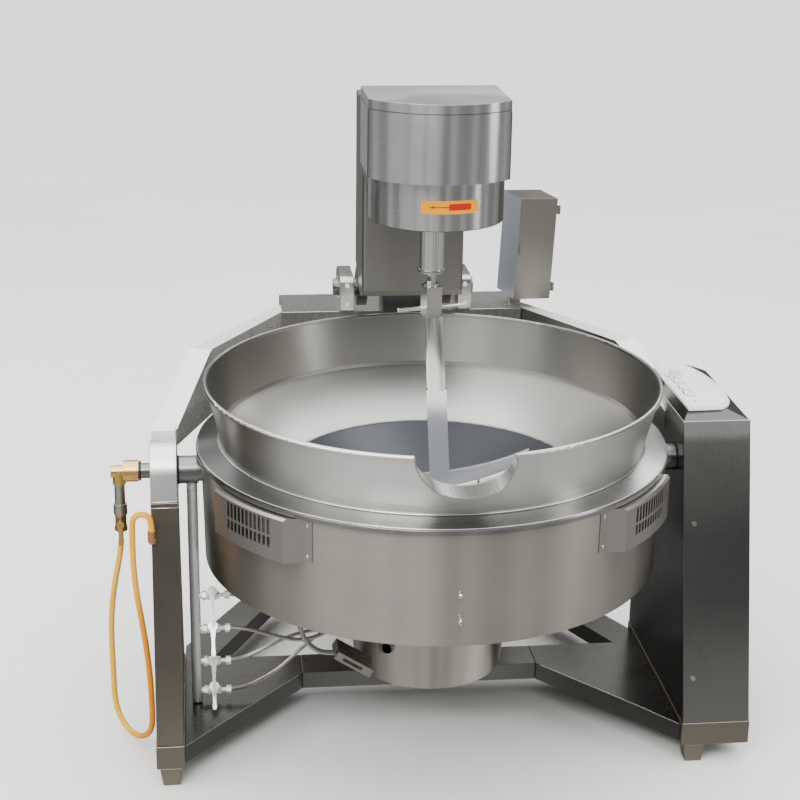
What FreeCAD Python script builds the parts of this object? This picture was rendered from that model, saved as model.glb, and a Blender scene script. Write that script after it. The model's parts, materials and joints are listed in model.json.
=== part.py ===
import FreeCAD, Part
import math
import os

# Gas-heated tilting wok with a planetary stirrer, millimetres, +Z up.
# The geometry is laid out in machine coordinates: x = 0 and y = 0 on the pot
# centre line, z = 0 on the floor, the pouring lip towards -Y.  Every node is
# shifted by (-OX, -OY) when written, so the row origin is the middle of the
# machine's footprint on the floor.

V = FreeCAD.Vector
os.makedirs("parts", exist_ok=True)

# ---------------------------------------------------------------- dimensions
OX, OY = 2.0, 115.0

TZ = 749.0             # height of the tilting axis
RIM_Z = 976.0          # height of the pot rim
RIM_R = 560.0          # inside radius at the rim
SEAM_R = 530.0         # inside radius where the dish meets the wall
DISH_R = 735.0         # spherical dish radius
DISH_ZC = 1360.0       # height of the dish's sphere centre
DISH_T = 5.0
WALL_T = 3.0
BEAD_R = 6.0

SH_R = 590.0           # shoulder ring outer radius
SH_Z = 818.0
SKIRT_R1 = 578.0       # skirt radius at the top
SKIRT_R0 = 572.0       # and at the bottom
SKIRT_Z1 = 803.0
SKIRT_Z0 = 524.0
CH_R1, CH_R0 = 228.0, 190.0
CH_Z1, CH_Z0 = 505.0, 210.0

POST_X0, POST_X1 = -703.0, -637.0
CAB_X0, CAB_X1 = 630.0, 803.0
CAB_TOP = 866.0
CAB_BACK = 340.0
PL_Z0, PL_Z1 = 50.0, 112.0     # plinths
BASE_Z0, BASE_Z1 = 50.0, 98.0  # base frame

BOX_X, BOX_Y0, BOX_Y1, BOX_Z1 = 343.0, 665.0, 850.0, 959.0
PIV_Y, PIV_Z = 665.0, 1030.0   # arm pivot
SHAFT_R = 25.0
RUN = 0.05                     # radial running clearance

HEAD_Z0, HEAD_Z1 = 1507.0, 1690.0
DRUM_Z0, DRUM_Z1 = 1385.0, 1507.0
DRUM_R = 163.0
HOOD_R = 218.0
ECC = 60.0                     # planetary eccentricity
GEAR_M = 4.0
RING_N, PLANET_N = 48, 18

MAN_X, MAN_R = -602.0, 13.5    # gas manifold pipe
VALVE_X = -558.0
VALVES = [(402.0, 45.0, 78.0), (308.0, 36.0, 78.0), (215.0, 26.0, 78.0), (130.0, 44.0, 62.0)]

HOSE_R = 7.5


# ---------------------------------------------------------------- helpers
def box(x0, x1, y0, y1, z0, z1):
    return Part.makeBox(x1 - x0, y1 - y0, z1 - z0, V(x0, y0, z0))


def cyl(r, h, p, d=(0, 0, 1)):
    return Part.makeCylinder(r, h, V(*p), V(*d))


def cone(r0, r1, h, p, d=(0, 0, 1)):
    return Part.makeCone(r0, r1, h, V(*p), V(*d))


def poly_face(pts):
    w = Part.makePolygon([V(*p) for p in pts] + [V(*pts[0])])
    return Part.Face(w)


def prism_z(pts, z0, z1):
    return poly_face([(x, y, z0) for x, y in pts]).extrude(V(0, 0, z1 - z0))


def prism_x(pts, x0, x1):
    return poly_face([(x0, y, z) for y, z in pts]).extrude(V(x1 - x0, 0, 0))


def prism_y(pts, y0, y1):
    return poly_face([(x, y0, z) for x, z in pts]).extrude(V(0, y1 - y0, 0))


def inset(face, t):
    return face.makeOffset2D(-t)


def revolve(pts, ang=360.0):
    return poly_face([(r, 0, z) for r, z in pts]).revolve(V(0, 0, 0), V(0, 0, 1), ang)


def unit(a):
    n = math.sqrt(sum(c * c for c in a))
    return tuple(c / n for c in a)


def route_wire(points, radius=None, report=None):
    """straight runs joined by tangent arcs"""
    pts = [V(*p) for p in points]
    edges = []
    radii = []
    last = pts[0]
    for i in range(1, len(pts) - 1):
        a, b, c = pts[i - 1], pts[i], pts[i + 1]
        u = (a - b)
        w = (c - b)
        lu, lw = u.Length, w.Length
        u.normalize()
        w.normalize()
        turn = math.pi - math.acos(max(-1, min(1, u.dot(w))))
        cut = 0.45 * min(lu, lw)
        r = cut / math.tan(turn / 2)
        if radius and r > radius:
            r = radius
            cut = r * math.tan(turn / 2)
        radii.append(r)
        p1 = b + u * cut
        p2 = b + w * cut
        bis = (u + w)
        bis.normalize()
        mid = b + bis * (r / math.cos(turn / 2) - r)
        if (p1 - last).Length > 1e-6:
            edges.append(Part.LineSegment(last, p1).toShape())
        edges.append(Part.Arc(p1, mid, p2).toShape())
        last = p2
    edges.append(Part.LineSegment(last, pts[-1]).toShape())
    wire = Part.Wire(edges)
    if report:
        print(report, "length %.0f mm, tightest radius %.1f mm" % (wire.Length, min(radii)),
              [round(r) for r in radii])
    return wire


def tube_on(points, r, radius=None, report=None):
    wire = route_wire(points, radius, report)
    d = V(*points[1]) - V(*points[0])
    circ = Part.Wire([Part.Circle(V(*points[0]), d, r).toShape()])
    s = wire.makePipeShell([circ], True, False)
    if report:
        print(report, "volume ratio %.4f" % (s.Volume / (math.pi * r * r * wire.Length)))
    return s


def fuse(*shapes):
    s = shapes[0]
    for o in shapes[1:]:
        s = s.fuse(o)
    return s.removeSplitter()


def export(name, *shapes):
    out = []
    for s in shapes:
        s = s.copy()
        s.translate(V(-OX, -OY, 0))
        out += s.Solids
    for s in out:
        if not s.isValid():
            print("NOT VALID", name)
    Part.makeCompound(out).exportStep("parts/%s.step" % name)
    bb = Part.makeCompound(out).BoundBox
    print("%-18s solids %2d  vol %9.0f  x %7.1f %7.1f  y %7.1f %7.1f  z %7.1f %7.1f" % (
        name, len(out), sum(s.Volume for s in out) / 1000, bb.XMin, bb.XMax, bb.YMin, bb.YMax, bb.ZMin, bb.ZMax))


def open_tray(pts, z0, z1, t):
    """flat box section, open underneath"""
    outer = prism_z(pts, z0, z1)
    f = poly_face([(x, y, z0) for x, y in pts])
    inner = inset(f, t).extrude(V(0, 0, z1 - z0 - t))
    return outer.cut(inner)


# ================================================================= base frame
legL = [(-320, 135), (-545, -125), (-634, -228), (-634, 240), (-320, 240)]
legR = [(-x - (6 if x == -634 else 0), y) for x, y in legL]
crossbar = open_tray([(-320, 135), (320, 135), (320, 240), (-320, 240)], BASE_Z0, BASE_Z1, 4)
left_leg = open_tray(legL, BASE_Z0, BASE_Z1, 4)
right_leg = open_tray(legR[::-1], BASE_Z0, BASE_Z1, 4)
railL = [(-560, 240), (-634, 240), (-634, 320), (-420, 700), (-343, 700), (-343, 665)]
railR = [(-x - (6 if x == -634 else 0), y) for x, y in railL]
side_rails = [open_tray(railL, BASE_Z0, BASE_Z1, 4), open_tray(railR[::-1], BASE_Z0, BASE_Z1, 4)]
export("base_crossbar", crossbar)
export("left_base_leg", left_leg)
export("right_base_leg", right_leg)
export("side_rails", *side_rails)

def plinth(x0, x1, y0, y1):
    return box(x0, x1, y0, y1, PL_Z0, PL_Z1).cut(box(x0 + 4, x1 - 4, y0 + 4, y1 - 4, PL_Z0 + 4, PL_Z1 + 1))


plinthL = plinth(-705, -634, -252, 252)
plinthR = plinth(628, 805, -253, 342)
# the rails and legs butt against the plinths
export("plinths", plinthL, plinthR)


def foot(x, y):
    top = Part.makePolygon([V(x - 28, y - 27, 50), V(x + 28, y - 27, 50), V(x + 28, y + 27, 50), V(x - 28, y + 27, 50), V(x - 28, y - 27, 50)])
    bot = Part.makePolygon([V(x - 21, y - 21, 0), V(x + 21, y - 21, 0), V(x + 21, y + 21, 0), V(x - 21, y + 21, 0), V(x - 21, y - 21, 0)])
    return Part.makeLoft([bot, top], True, True)


export("feet", foot(-669, -225), foot(664, -226), foot(-669, 220), foot(700, 305), foot(-290, 757), foot(290, 757))

# ================================================================= left post
FRONT_SLOPE = (250.0 - 78.0) / (693.0 - 112.0)
post_prof = [(-250, 112), (250, 112), (78, 693), (-78, 693)]
post_solid = prism_x(post_prof, POST_X0, POST_X1)
post_in = prism_x([(-246, 112), (246, 112), (75, 690), (-75, 690)], POST_X0 + 3, POST_X1 - 3)
left_post = post_solid.cut(post_in)
export("left_post", left_post)

cap_arc = Part.Wire([
    Part.LineSegment(V(POST_X0, -78, 693), V(POST_X0, 78, 693)).toShape(),
    Part.LineSegment(V(POST_X0, 78, 693), V(POST_X0, 76, TZ)).toShape(),
    Part.Arc(V(POST_X0, 76, TZ), V(POST_X0, 0, TZ + 76), V(POST_X0, -76, TZ)).toShape(),
    Part.LineSegment(V(POST_X0, -76, TZ), V(POST_X0, -78, 693)).toShape()])
cap = Part.Face(cap_arc).extrude(V(POST_X1 - POST_X0, 0, 0))
cap = cap.cut(cyl(38.1, 100, (POST_X0 - 10, 0, TZ), (1, 0, 0)))
export("bearing_cap", cap)


def ring_x(r_out, r_in, x0, x1, y, z):
    return cyl(r_out, x1 - x0, (x0, y, z), (1, 0, 0)).cut(cyl(r_in, x1 - x0 + 2, (x0 - 1, y, z), (1, 0, 0)))


bearings = [ring_x(38.0, SHAFT_R + RUN, -699, -641, 0, TZ),
            ring_x(32.0, SHAFT_R + RUN, -182, -148, PIV_Y, PIV_Z),
            ring_x(32.0, SHAFT_R + RUN, 148, 182, PIV_Y, PIV_Z)]
export("shaft_bearings", *bearings)

# copper-coloured hose fitting on the front left edge of the post
fit_a = (-702.0, -114.0, 634.0)
fitting = fuse(cyl(9.5, 22, fit_a, (0, 0, -1)), cyl(7.5, 16, (-698.0, -114.0, 606.0), (0, 1, 0)),
               Part.makeSphere(10.5, V(-701.0, -114.0, 608.0)))
fitting = fitting.cut(prism_x(post_prof, POST_X0 - 8, POST_X1))
export("hose_fitting", fitting)

# ================================================================= right cabinet
FY_T, FY_B = -67.0, -250.0
shell_o = prism_x([(FY_B + 2.5, PL_Z1), (CAB_BACK, PL_Z1), (CAB_BACK, CAB_TOP), (FY_T + 2.5, CAB_TOP)], CAB_X0, CAB_X1)
shell_i = prism_x([(FY_B + 5.5, PL_Z1), (CAB_BACK - 3, PL_Z1), (CAB_BACK - 3, CAB_TOP - 3), (FY_T + 6.0, CAB_TOP - 3)], CAB_X0 + 3, CAB_X1 - 3)
front_win = prism_x([(-330, 160), (-100, 160), (-30, 820), (-330, 820)], CAB_X0 + 25, CAB_X1 - 25)
cabinet = shell_o.cut(shell_i).cut(front_win).cut(cyl(36, 8, (CAB_X0 - 2, 0, TZ), (1, 0, 0)))
export("cabinet_shell", cabinet)
cover = prism_x([(FY_B, PL_Z1), (FY_B + 2.5, PL_Z1), (FY_T + 2.5, CAB_TOP), (FY_T, CAB_TOP)], CAB_X0, CAB_X1)
nrm = unit((0, -(CAB_TOP - PL_Z1), FY_T - FY_B))


def on_front(x, z, h):
    y = FY_B + (z - PL_Z1) * (FY_T - FY_B) / (CAB_TOP - PL_Z1)
    return (x + nrm[0] * h, y + nrm[1] * h, z + nrm[2] * h)


screw_spots = [(658, 613), (656, 225)]
screws = []
for sx, sz in screw_spots:
    p = on_front(sx, sz, -2.5)
    cover = cover.cut(cyl(3.2, 12, on_front(sx, sz, -6), nrm))
    screws.append(fuse(cyl(3.0, 4.0, on_front(sx, sz, -2.4), nrm), cyl(6.0, 2.4, on_front(sx, sz, 0.02), nrm)))
export("cabinet_cover", cover)

# pivot ears on the rear box, with their bearing bores
ear_pts = [(577, 985), (577, 1058), (584, 1072), (600, 1080), (712, 1080), (735, 1068), (742, 1045), (742, BOX_Z1), (640, BOX_Z1)]
ears = []
for s in (-1, 1):
    x0, x1 = (-184, -146) if s < 0 else (146, 184)
    e = prism_x(ear_pts, x0, x1)
    e = e.cut(cyl(32.1, 60, (x0 - 10, PIV_Y, PIV_Z), (1, 0, 0)))
    ears.append(e)
    for z in (1005, 1058):
        screws.append(fuse(cyl(6.5, 4, (0.5 * (x0 + x1), 573, z), (0, 1, 0))))
export("pivot_ears", *ears)
export("frame_screws", *screws)

# drives: worm gearboxes around the tilting trunnion and the arm pivot shaft
tilt_box = box(641, 722, -62, 92, 662, 836)
tilt_box = fuse(tilt_box, cyl(48, 10, (722, 0, TZ), (1, 0, 0))).cut(cyl(SHAFT_R + RUN, 120, (630, 0, TZ), (1, 0, 0)))
lift_box = box(-60, 60, 629, 735, BOX_Z1, 1058).cut(cyl(SHAFT_R + RUN, 130, (-65, PIV_Y, PIV_Z), (1, 0, 0)))
export("worm_gearboxes", tilt_box, lift_box)
tilt_motor = fuse(cyl(50, 12, (688, 92, 735), (0, 1, 0)), cyl(47, 170, (688, 104, 735), (0, 1, 0)), cyl(44, 40, (688, 274, 735), (0, 1, 0)))
lift_motor = fuse(cyl(36, 8, (0, 735, 997), (0, 1, 0)), cyl(31, 90, (0, 743, 997), (0, 1, 0)))
export("drive_motors", tilt_motor, lift_motor)

# console and control panel on top of the cabinet
def rect_wire(x0, x1, y0, y1, z):
    return Part.makePolygon([V(x0, y0, z), V(x1, y0, z), V(x1, y1, z), V(x0, y1, z), V(x0, y0, z)])


con_o = Part.makeLoft([rect_wire(632, 801, -65, 338, CAB_TOP), rect_wire(647, 742, -45, 316, 892)], True, True)
con_i = Part.makeLoft([rect_wire(637, 794, -60, 333, CAB_TOP), rect_wire(650, 738, -42, 313, 889)], True, True)
console = con_o.cut(con_i)
pan_arc = Part.Wire([
    Part.LineSegment(V(636, 318, 892), V(642, -60, 892)).toShape(),
    Part.LineSegment(V(642, -60, 892), V(734, -56, 892)).toShape(),
    Part.Arc(V(734, -56, 892), V(754, -34, 892), V(764, 0, 892)).toShape(),
    Part.Arc(V(764, 0, 892), V(766, 150, 892), V(716, 318, 892)).toShape(),
    Part.LineSegment(V(716, 318, 892), V(636, 318, 892)).toShape()])
panel = Part.Face(pan_arc).extrude(V(0, 0, 10))
BTN_X = 672.0
BTN = {"tilt_up_button": 30.0, "tilt_down_button": 78.0, "stir_button": 126.0}
KNOB_Y = 190.0
for y in BTN.values():
    panel = panel.cut(cyl(11.3, 20, (BTN_X, y, 888)))
panel = panel.cut(cyl(4.0 + RUN, 20, (BTN_X, KNOB_Y, 888)))
export("console", console)
export("control_panel", panel)
for n, y in BTN.items():
    b = cyl(11.0, 10.5, (BTN_X, y, 897.5))
    b = b.makeFillet(1.5, [e for e in b.Edges if abs(e.BoundBox.ZMin - 908) < 0.01 and abs(e.BoundBox.ZMax - 908) < 0.01])
    export(n, b)
knob = fuse(cyl(4.0, 9.5, (BTN_X, KNOB_Y, 893)), cone(17, 14.5, 18, (BTN_X, KNOB_Y, 902.4)), box(BTN_X - 2, BTN_X + 2, KNOB_Y - 15, KNOB_Y + 2, 918, 922.4))
export("speed_knob", knob)

# ================================================================= rear box and wings
rear = box(-BOX_X, BOX_X, BOX_Y0, BOX_Y1, 50, BOX_Z1).cut(box(-BOX_X + 3, BOX_X - 3, BOX_Y0 + 3, BOX_Y1 - 3, 53, BOX_Z1 - 3)).cut(box(-230, 230, 690, 825, 40, 60))
export("rear_box", rear)


def wing():
    plan = [(-343, 672), (-548, 322), (-636, 90), (-700, 90), (-596, 345), (-343, 745)]
    w = prism_z(plan, 780, BOX_Z1)
    # the top edge drops from the bend to the post
    cut = prism_x([(333, BOX_Z1), (333, BOX_Z1 + 20), (60, BOX_Z1 + 20), (60, 812), (90, 824)], -760, -500)
    w = w.cut(cut)
    f = inset(poly_face([(x, y, 776.0) for x, y in plan]), 3)
    core = f.extrude(V(0, 0, BOX_Z1 - 3 - 776.0))
    core = core.cut(prism_x([(333, BOX_Z1 - 3), (333, BOX_Z1 + 20), (60, BOX_Z1 + 20), (60, 809), (90, 821)], -760, -500))
    core = core.cut(box(-760, -600, 60, 116, 700, 900))
    w = w.cut(core)
    end = prism_x([(79.0, 693.0), (110, 693), (110, 836), (79, 824)], -700, -640)
    end = end.cut(cyl(77, 100, (-720, 0, TZ), (1, 0, 0)))
    return fuse(w, end)


wl = wing()
wr = wl.mirror(V(0, 0, 0), V(1, 0, 0))
# the right wing ends on the cabinet's inner wall
wr = wr.cut(box(CAB_X0 - 0.0, 900, -100, 345, 600, 1000))
wr = max(wr.Solids, key=lambda s: s.Volume)
export("wing_beams", wl, wr)

# ================================================================= control box on its post
BX0 = V(318.0, 650.0, 990.0)
BROT = FreeCAD.Rotation(V(0, 0, 1), 12.6).multiply(FreeCAD.Rotation(V(0, 1, 0), 2.75))
BPL = FreeCAD.Placement(BX0, BROT)


def local(s):
    return s.transformed(BPL.toMatrix())


BW, BD, BH = 112.0, 128.0, 290.0
cb_solid = box(0, BW, 3, BD, 0, BH)
cb = cb_solid.cut(box(2, BW - 2, 0, BD - 2, 2, BH - 2))
HX, HY = BW + 5.0, -1.0
for z0 in (22, 246):
    # hinge bracket with its pin
    br = box(BW, BW + 9, 3.7, 6.2, z0, z0 + 24).fuse(box(BW + 3, BW + 8, -1.0, 3.7, z0, z0 + 4.5)).fuse(box(BW + 3, BW + 8, -1.0, 3.7, z0 + 19.5, z0 + 24))
    br = br.fuse(cyl(2.0, 24, (HX, HY, z0))).fuse(cyl(4.2, 4.5, (HX, HY, z0))).fuse(cyl(4.2, 4.5, (HX, HY, z0 + 19.5)))
    cb = cb.fuse(br)
cb = cb.removeSplitter()
door = box(-1, BW - 1.0, -0.5, 2.0, -1, BH + 1)
for z0 in (22, 246):
    kn = box(BW - 3, HX, -2.0, 0.0, z0 + 5, z0 + 19).fuse(cyl(4.2, 14, (HX, HY, z0 + 5)))
    door = door.fuse(kn).cut(cyl(2.0 + RUN, 40, (HX, HY, z0 - 5)))
door = fuse(door, box(6, 12, -9, -0.5, 130, 160))
control_box = local(cb)
box_door = local(door.removeSplitter())
export("control_box", control_box)
export("box_door", box_door)
bp = box(313, 346, 690, 723, BOX_Z1, 1000).cut(local(box(-5, BW + 5, 0, BD + 5, 0, BH)))
bp = max(bp.Solids, key=lambda s: s.Volume)
bpf = box(300, 343, 680, 735, BOX_Z1, BOX_Z1 + 6)
export("box_post", fuse(bp, bpf))
hp = BPL.multVec(V(HX, HY, 0))
hd = BROT.multVec(V(0, 0, 1))
print("door hinge point", hp, "axis", hd)

# ================================================================= gas inlet
EX = -781.0
elbow = fuse(cyl(27, 37, (-770, 0, TZ), (1, 0, 0)), cyl(15, 32, (-801, 0, TZ), (1, 0, 0)), cyl(16, 34, (EX, 0, 716)))
elbow = elbow.cut(cyl(19.0 + RUN, 20, (-745, 0, TZ), (1, 0, 0)))
export("union_elbow", elbow)
valve = fuse(cyl(13, 54, (EX, 0, 662)), cyl(17, 26, (EX, 0, 636)), cyl(14, 34, (EX, 0, 604)), cyl(16, 12, (EX, 0, 592)),
             cyl(6.2, 28, (EX - 1, 0, 566)), cyl(8, 24, (EX, -14, 622), (0, -1, 0)).fuse(cyl(3.0, 34, (EX, -10, 622), (0, -1, 0))))
valve = fuse(valve, cyl(8, 16, (EX, -10, 622), (0, 1, 0)))
export("inlet_valve", valve)
il = fuse(cyl(9, 4, (EX, -38.5, 622), (0, -1, 0)), box(EX - 5, EX + 5, -42.5, -38.5, 566, 622))
il = il.cut(cyl(3.0 + RUN, 30, (EX, -30, 622), (0, -1, 0)))
export("inlet_lever", il)

HOSE = [(-782, 0, 565.2), (-785, 0, 530), (-798, 4, 470), (-811, 9, 395), (-818, 13, 310), (-817, 14, 200),
        (-816, 14, 86), (-786, -24, 40), (-746, -76, 40), (-716, -114, 86), (-716, -116, 165), (-718, -117, 240), (-724, -117, 315),
        (-733, -115, 390), (-744, -112, 465), (-749, -110, 535), (-749.5, -110, 590), (-748.5, -112, 630), (-748, -112.5, 664.5),
        (-734.5, -113, 678), (-715.5, -113.5, 678), (-702, -114, 664.5), (-702, -114, 634)]
hose = tube_on(HOSE, HOSE_R, report="gas_hose")
export("gas_hose", hose)

# ================================================================= pot
z_seam = DISH_ZC - math.sqrt(DISH_R ** 2 - SEAM_R ** 2)
ro = DISH_R + DISH_T
z_low = 828.0
r_low = math.sqrt(ro ** 2 - (DISH_ZC - z_low) ** 2)


def arc_pts(rad, r_end):
    zc = DISH_ZC
    rm = r_end * 0.5
    return (V(0, 0, zc - rad), V(rm, 0, zc - math.sqrt(rad ** 2 - rm ** 2)), V(r_end, 0, zc - math.sqrt(rad ** 2 - r_end ** 2)))


ai = arc_pts(DISH_R, SEAM_R)
ao = arc_pts(ro, r_low)
edges = [Part.Arc(*ai).toShape(),
         Part.LineSegment(ai[2], V(RIM_R, 0, RIM_Z)).toShape(),
         Part.LineSegment(V(RIM_R, 0, RIM_Z), V(RIM_R + WALL_T, 0, RIM_Z)).toShape(),
         Part.LineSegment(V(RIM_R + WALL_T, 0, RIM_Z), V(SEAM_R + WALL_T + 0.5, 0, 851)).toShape(),
         Part.LineSegment(V(SEAM_R + WALL_T + 0.5, 0, 851), V(SEAM_R + 2, 0, z_low)).toShape(),
         Part.LineSegment(V(SEAM_R + 2, 0, z_low), ao[2]).toShape(),
         Part.Arc(ao[2], ao[1], ao[0]).toShape(),
         Part.LineSegment(ao[0], ai[0]).toShape()]
bowl = Part.Face(Part.Wire(edges)).revolve(V(0, 0, 0), V(0, 0, 1), 360)
bead = Part.makeTorus(RIM_R + 4.5, BEAD_R, V(0, 0, RIM_Z - 1))
bowl = bowl.fuse(bead)
# pouring lip: a half-elliptic trough through the front wall
LIP_W, LIP_D, LIP_Y = 112.0, 74.0, -620.0


def lip_solid(w, d, y0, y1, top):
    n = 28
    pts = [(-w, top), (w, top)] + [(w * math.cos(a), RIM_Z + 2 - d * math.sin(a)) for a in [math.pi * i / n for i in range(0, n + 1)]]
    return prism_y(pts, y0, y1)


notch = lip_solid(LIP_W, LIP_D, -650, -400, 1010)
bowl = bowl.cut(notch)
bowl = max(bowl.Solids, key=lambda s: s.Volume)
wall_fill = revolve([(0, 700), (SEAM_R + 2, 700), (SEAM_R + 2, z_low), (SEAM_R + WALL_T + 0.5, 851), (RIM_R + WALL_T, RIM_Z), (RIM_R + WALL_T, 1020), (0, 1020)])
trough = lip_solid(LIP_W + 3, LIP_D + 3, LIP_Y, -400, RIM_Z + 4).cut(lip_solid(LIP_W, LIP_D, LIP_Y - 5, -395, 1010))
trough = trough.cut(wall_fill)
# cut the free end on a slope and round it in plan
trough = trough.cut(prism_x([(LIP_Y - 1, 1010), (-588, 1010), (-588, 980), (LIP_Y - 1, 962)], -200, 200))
trough = trough.cut(prism_z([(-200, LIP_Y - 1), (-200, -572), (-122, -572), (-70, LIP_Y - 1)], 880, 1010))
trough = trough.cut(prism_z([(200, LIP_Y - 1), (200, -572), (122, -572), (70, LIP_Y - 1)], 880, 1010))
trough = max(trough.Solids, key=lambda s: s.Volume)
bowl = max(bowl.cut(trough).Solids, key=lambda s: s.Volume)
export("wok_bowl", bowl)
export("pour_lip", trough)

shoulder = revolve([(SEAM_R + 2.0, 825.0), (SEAM_R + 2.0, z_low), (SH_R - 6, SH_Z), (SH_R - 1.5, SH_Z - 1.5), (SH_R, SH_Z - 5), (SH_R, SKIRT_Z1),
                    (SH_R - 3, SKIRT_Z1), (SH_R - 3, SH_Z - 6), (SH_R - 6, SH_Z - 3.2)])
export("shoulder_ring", shoulder)

skirt_fill = revolve([(0, SKIRT_Z0), (SKIRT_R0, SKIRT_Z0), (SKIRT_R1, SKIRT_Z1), (0, SKIRT_Z1)])
skirt = revolve([(SKIRT_R0 - 2.5, SKIRT_Z0), (SKIRT_R0, SKIRT_Z0), (SKIRT_R1, SKIRT_Z1), (SKIRT_R1, SH_Z - 4.0), (SKIRT_R1 - 2.5, SH_Z - 4.0), (SKIRT_R1 - 2.5, SKIRT_Z1)])
for s in (-1, 1):
    skirt = skirt.cut(cyl(30, 80, (s * 530, 0, TZ), (s, 0, 0)))

chamber = revolve([(0, CH_Z0), (CH_R0, CH_Z0), (CH_R1, CH_Z1), (SKIRT_R0 - 3, SKIRT_Z0 + 3), (SKIRT_R0 - 3, SKIRT_Z0 + 6), (CH_R1 - 2, CH_Z1 + 3), (CH_R1 - 3.4, CH_Z1 + 1),
                   (CH_R0 - 3, CH_Z0 + 3), (0, CH_Z0 + 3)])
chamber_fill = revolve([(0, CH_Z0), (CH_R0, CH_Z0), (CH_R1, CH_Z1), (0, CH_Z1)])
export("skirt", skirt)


def ch_r(z):
    return CH_R0 + (CH_R1 - CH_R0) * (z - CH_Z0) / (CH_Z1 - CH_Z0)


# viewing port in the chamber
pa = unit((-125, -170, 0))
port_c = (pa[0] * (ch_r(318) - 14), pa[1] * (ch_r(318) - 14), 318)
port = cyl(18, 22, port_c, pa).cut(cyl(14, 40, (port_c[0] - pa[0] * 5, port_c[1] - pa[1] * 5, 318), pa))
chamber = chamber.cut(cyl(18, 40, (pa[0] * (ch_r(318) - 25), pa[1] * (ch_r(318) - 25), 318), pa))
export("burner_chamber", chamber)
burner = Part.makeTorus(140, 13, V(0, 0, 470))
for a in (90, 210, 330):
    c, s = math.cos(math.radians(a)), math.sin(math.radians(a))
    burner = burner.fuse(cyl(6, ch_r(470) - 4.5 - 150, (150 * c, 150 * s, 470), (c, s, 0)))
burner = burner.fuse(Part.makeTorus(70, 10, V(0, 0, 470))).fuse(cyl(8, 70, (72, 0, 470), (1, 0, 0))).fuse(cyl(8, 70, (-72, 0, 470), (-1, 0, 0)))
export("burner_ring", burner)


def skirt_r(z):
    return SKIRT_R0 + (SKIRT_R1 - SKIRT_R0) * (z - SKIRT_Z0) / (SKIRT_Z1 - SKIRT_Z0)


# vent hoods on the skirt
def hood(sign):
    R1, Z0, Z1, A0, A1, YE = 607.0, 692.0, 801.0, 30.0, 64.5, -460.0
    da = math.degrees(2.0 / 600)
    o = revolve([(560, Z0), (R1, Z0), (R1, Z1 - 6), (R1 - 5, Z1), (560, Z1)], A1 - A0)
    i = revolve([(555, Z0 + 2), (R1 - 2, Z0 + 2), (R1 - 2, Z1 - 6.5), (R1 - 6, Z1 - 2), (555, Z1 - 2)], A1 - A0 - 2 * da)
    i.rotate(V(0, 0, 0), V(0, 0, 1), da)
    # swing to the left of the front (-Y is at -90 degrees)
    o.rotate(V(0, 0, 0), V(0, 0, 1), -90 - A1)
    i.rotate(V(0, 0, 0), V(0, 0, 1), -90 - A1)
    # the front end is a flat face square to the machine
    o = o.cut(box(-700, 0, -700, YE, 600, 900))
    i = i.cut(box(-700, 0, -700, YE + 2, 600, 900))
    h = o.cut(i)
    # two rows of upright slots
    slots = []
    n = 11
    for k in range(n):
        a = 211.7 + 13.4 * k / (n - 1)
        for z0, z1 in ((753, 790), (722, 746)):
            b = box(590, 640, -4.2, 4.2, z0, z1)
            b.rotate(V(0, 0, 0), V(0, 0, 1), a)
            slots.append(b)
    h = h.cut(Part.makeCompound(slots))
    h = h.cut(skirt_fill)
    h = max(h.Solids, key=lambda s: s.Volume)
    if sign > 0:
        h = h.mirror(V(0, 0, 0), V(1, 0, 0))
    return h


hoods = [hood(-1), hood(1)]
export("vent_hoods", *hoods)

# small fittings: chamber port sleeve, a rivet and a ring clip on the skirt front
riv = cyl(6.5, 4, (-5, -skirt_r(651), 651), (0, -1, 0)).fuse(Part.makeSphere(6.0, V(-5, -skirt_r(651) - 2.5, 651)))
riv = riv.cut(skirt_fill)
clip = Part.makeTorus(7.5, 2.4, V(-5, -skirt_r(589) - 9.0, 589), V(1, 0, 0)).fuse(cyl(4, 5, (-5, -skirt_r(589) + 1, 589), (0, -1, 0)))
clip = clip.cut(skirt_fill)
export("skirt_fittings", port, max(riv.Solids, key=lambda s: s.Volume), max(clip.Solids, key=lambda s: s.Volume))

# trunnions: left hollow shaft with the gas nipple, right drive shaft
trl = fuse(cyl(19, 40, (-741, 0, TZ), (1, 0, 0)), cyl(SHAFT_R, 70, (-703.5, 0, TZ), (1, 0, 0)), cyl(35, 51, (-635.5, 0, TZ), (1, 0, 0)),
           cyl(30, 50, (-585, 0, TZ), (1, 0, 0)))
trl = trl.cut(cyl(9, 120, (-745, 0, TZ), (1, 0, 0)))
trr = fuse(cyl(30, 50, (535, 0, TZ), (1, 0, 0)), cyl(35, 43, (584, 0, TZ), (1, 0, 0)), cyl(SHAFT_R, 120, (626, 0, TZ), (1, 0, 0)))
# the inner ends stop on the dish's outside
dish_fill = Part.makeSphere(ro + 2.0, V(0, 0, DISH_ZC))
trl = trl.cut(dish_fill)
trr = trr.cut(dish_fill)
export("trunnions", trl, trr)

# gas manifold hanging from the left trunnion collar
man = cyl(MAN_R, 620, (MAN_X, 0, 103)).cut(cyl(MAN_R - 3, 620, (MAN_X, 0, 107)))
man = man.cut(cyl(35, 60, (-640, 0, TZ), (1, 0, 0)))
export("gas_manifold", max(man.Solids, key=lambda s: s.Volume))

def hex_x(af, h, x, z, turn=0.0):
    r = af / math.sqrt(3)
    return prism_x([(r * math.cos(math.radians(60 * i + turn)), z + r * math.sin(math.radians(60 * i + turn))) for i in range(6)], x, x + h)


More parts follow.
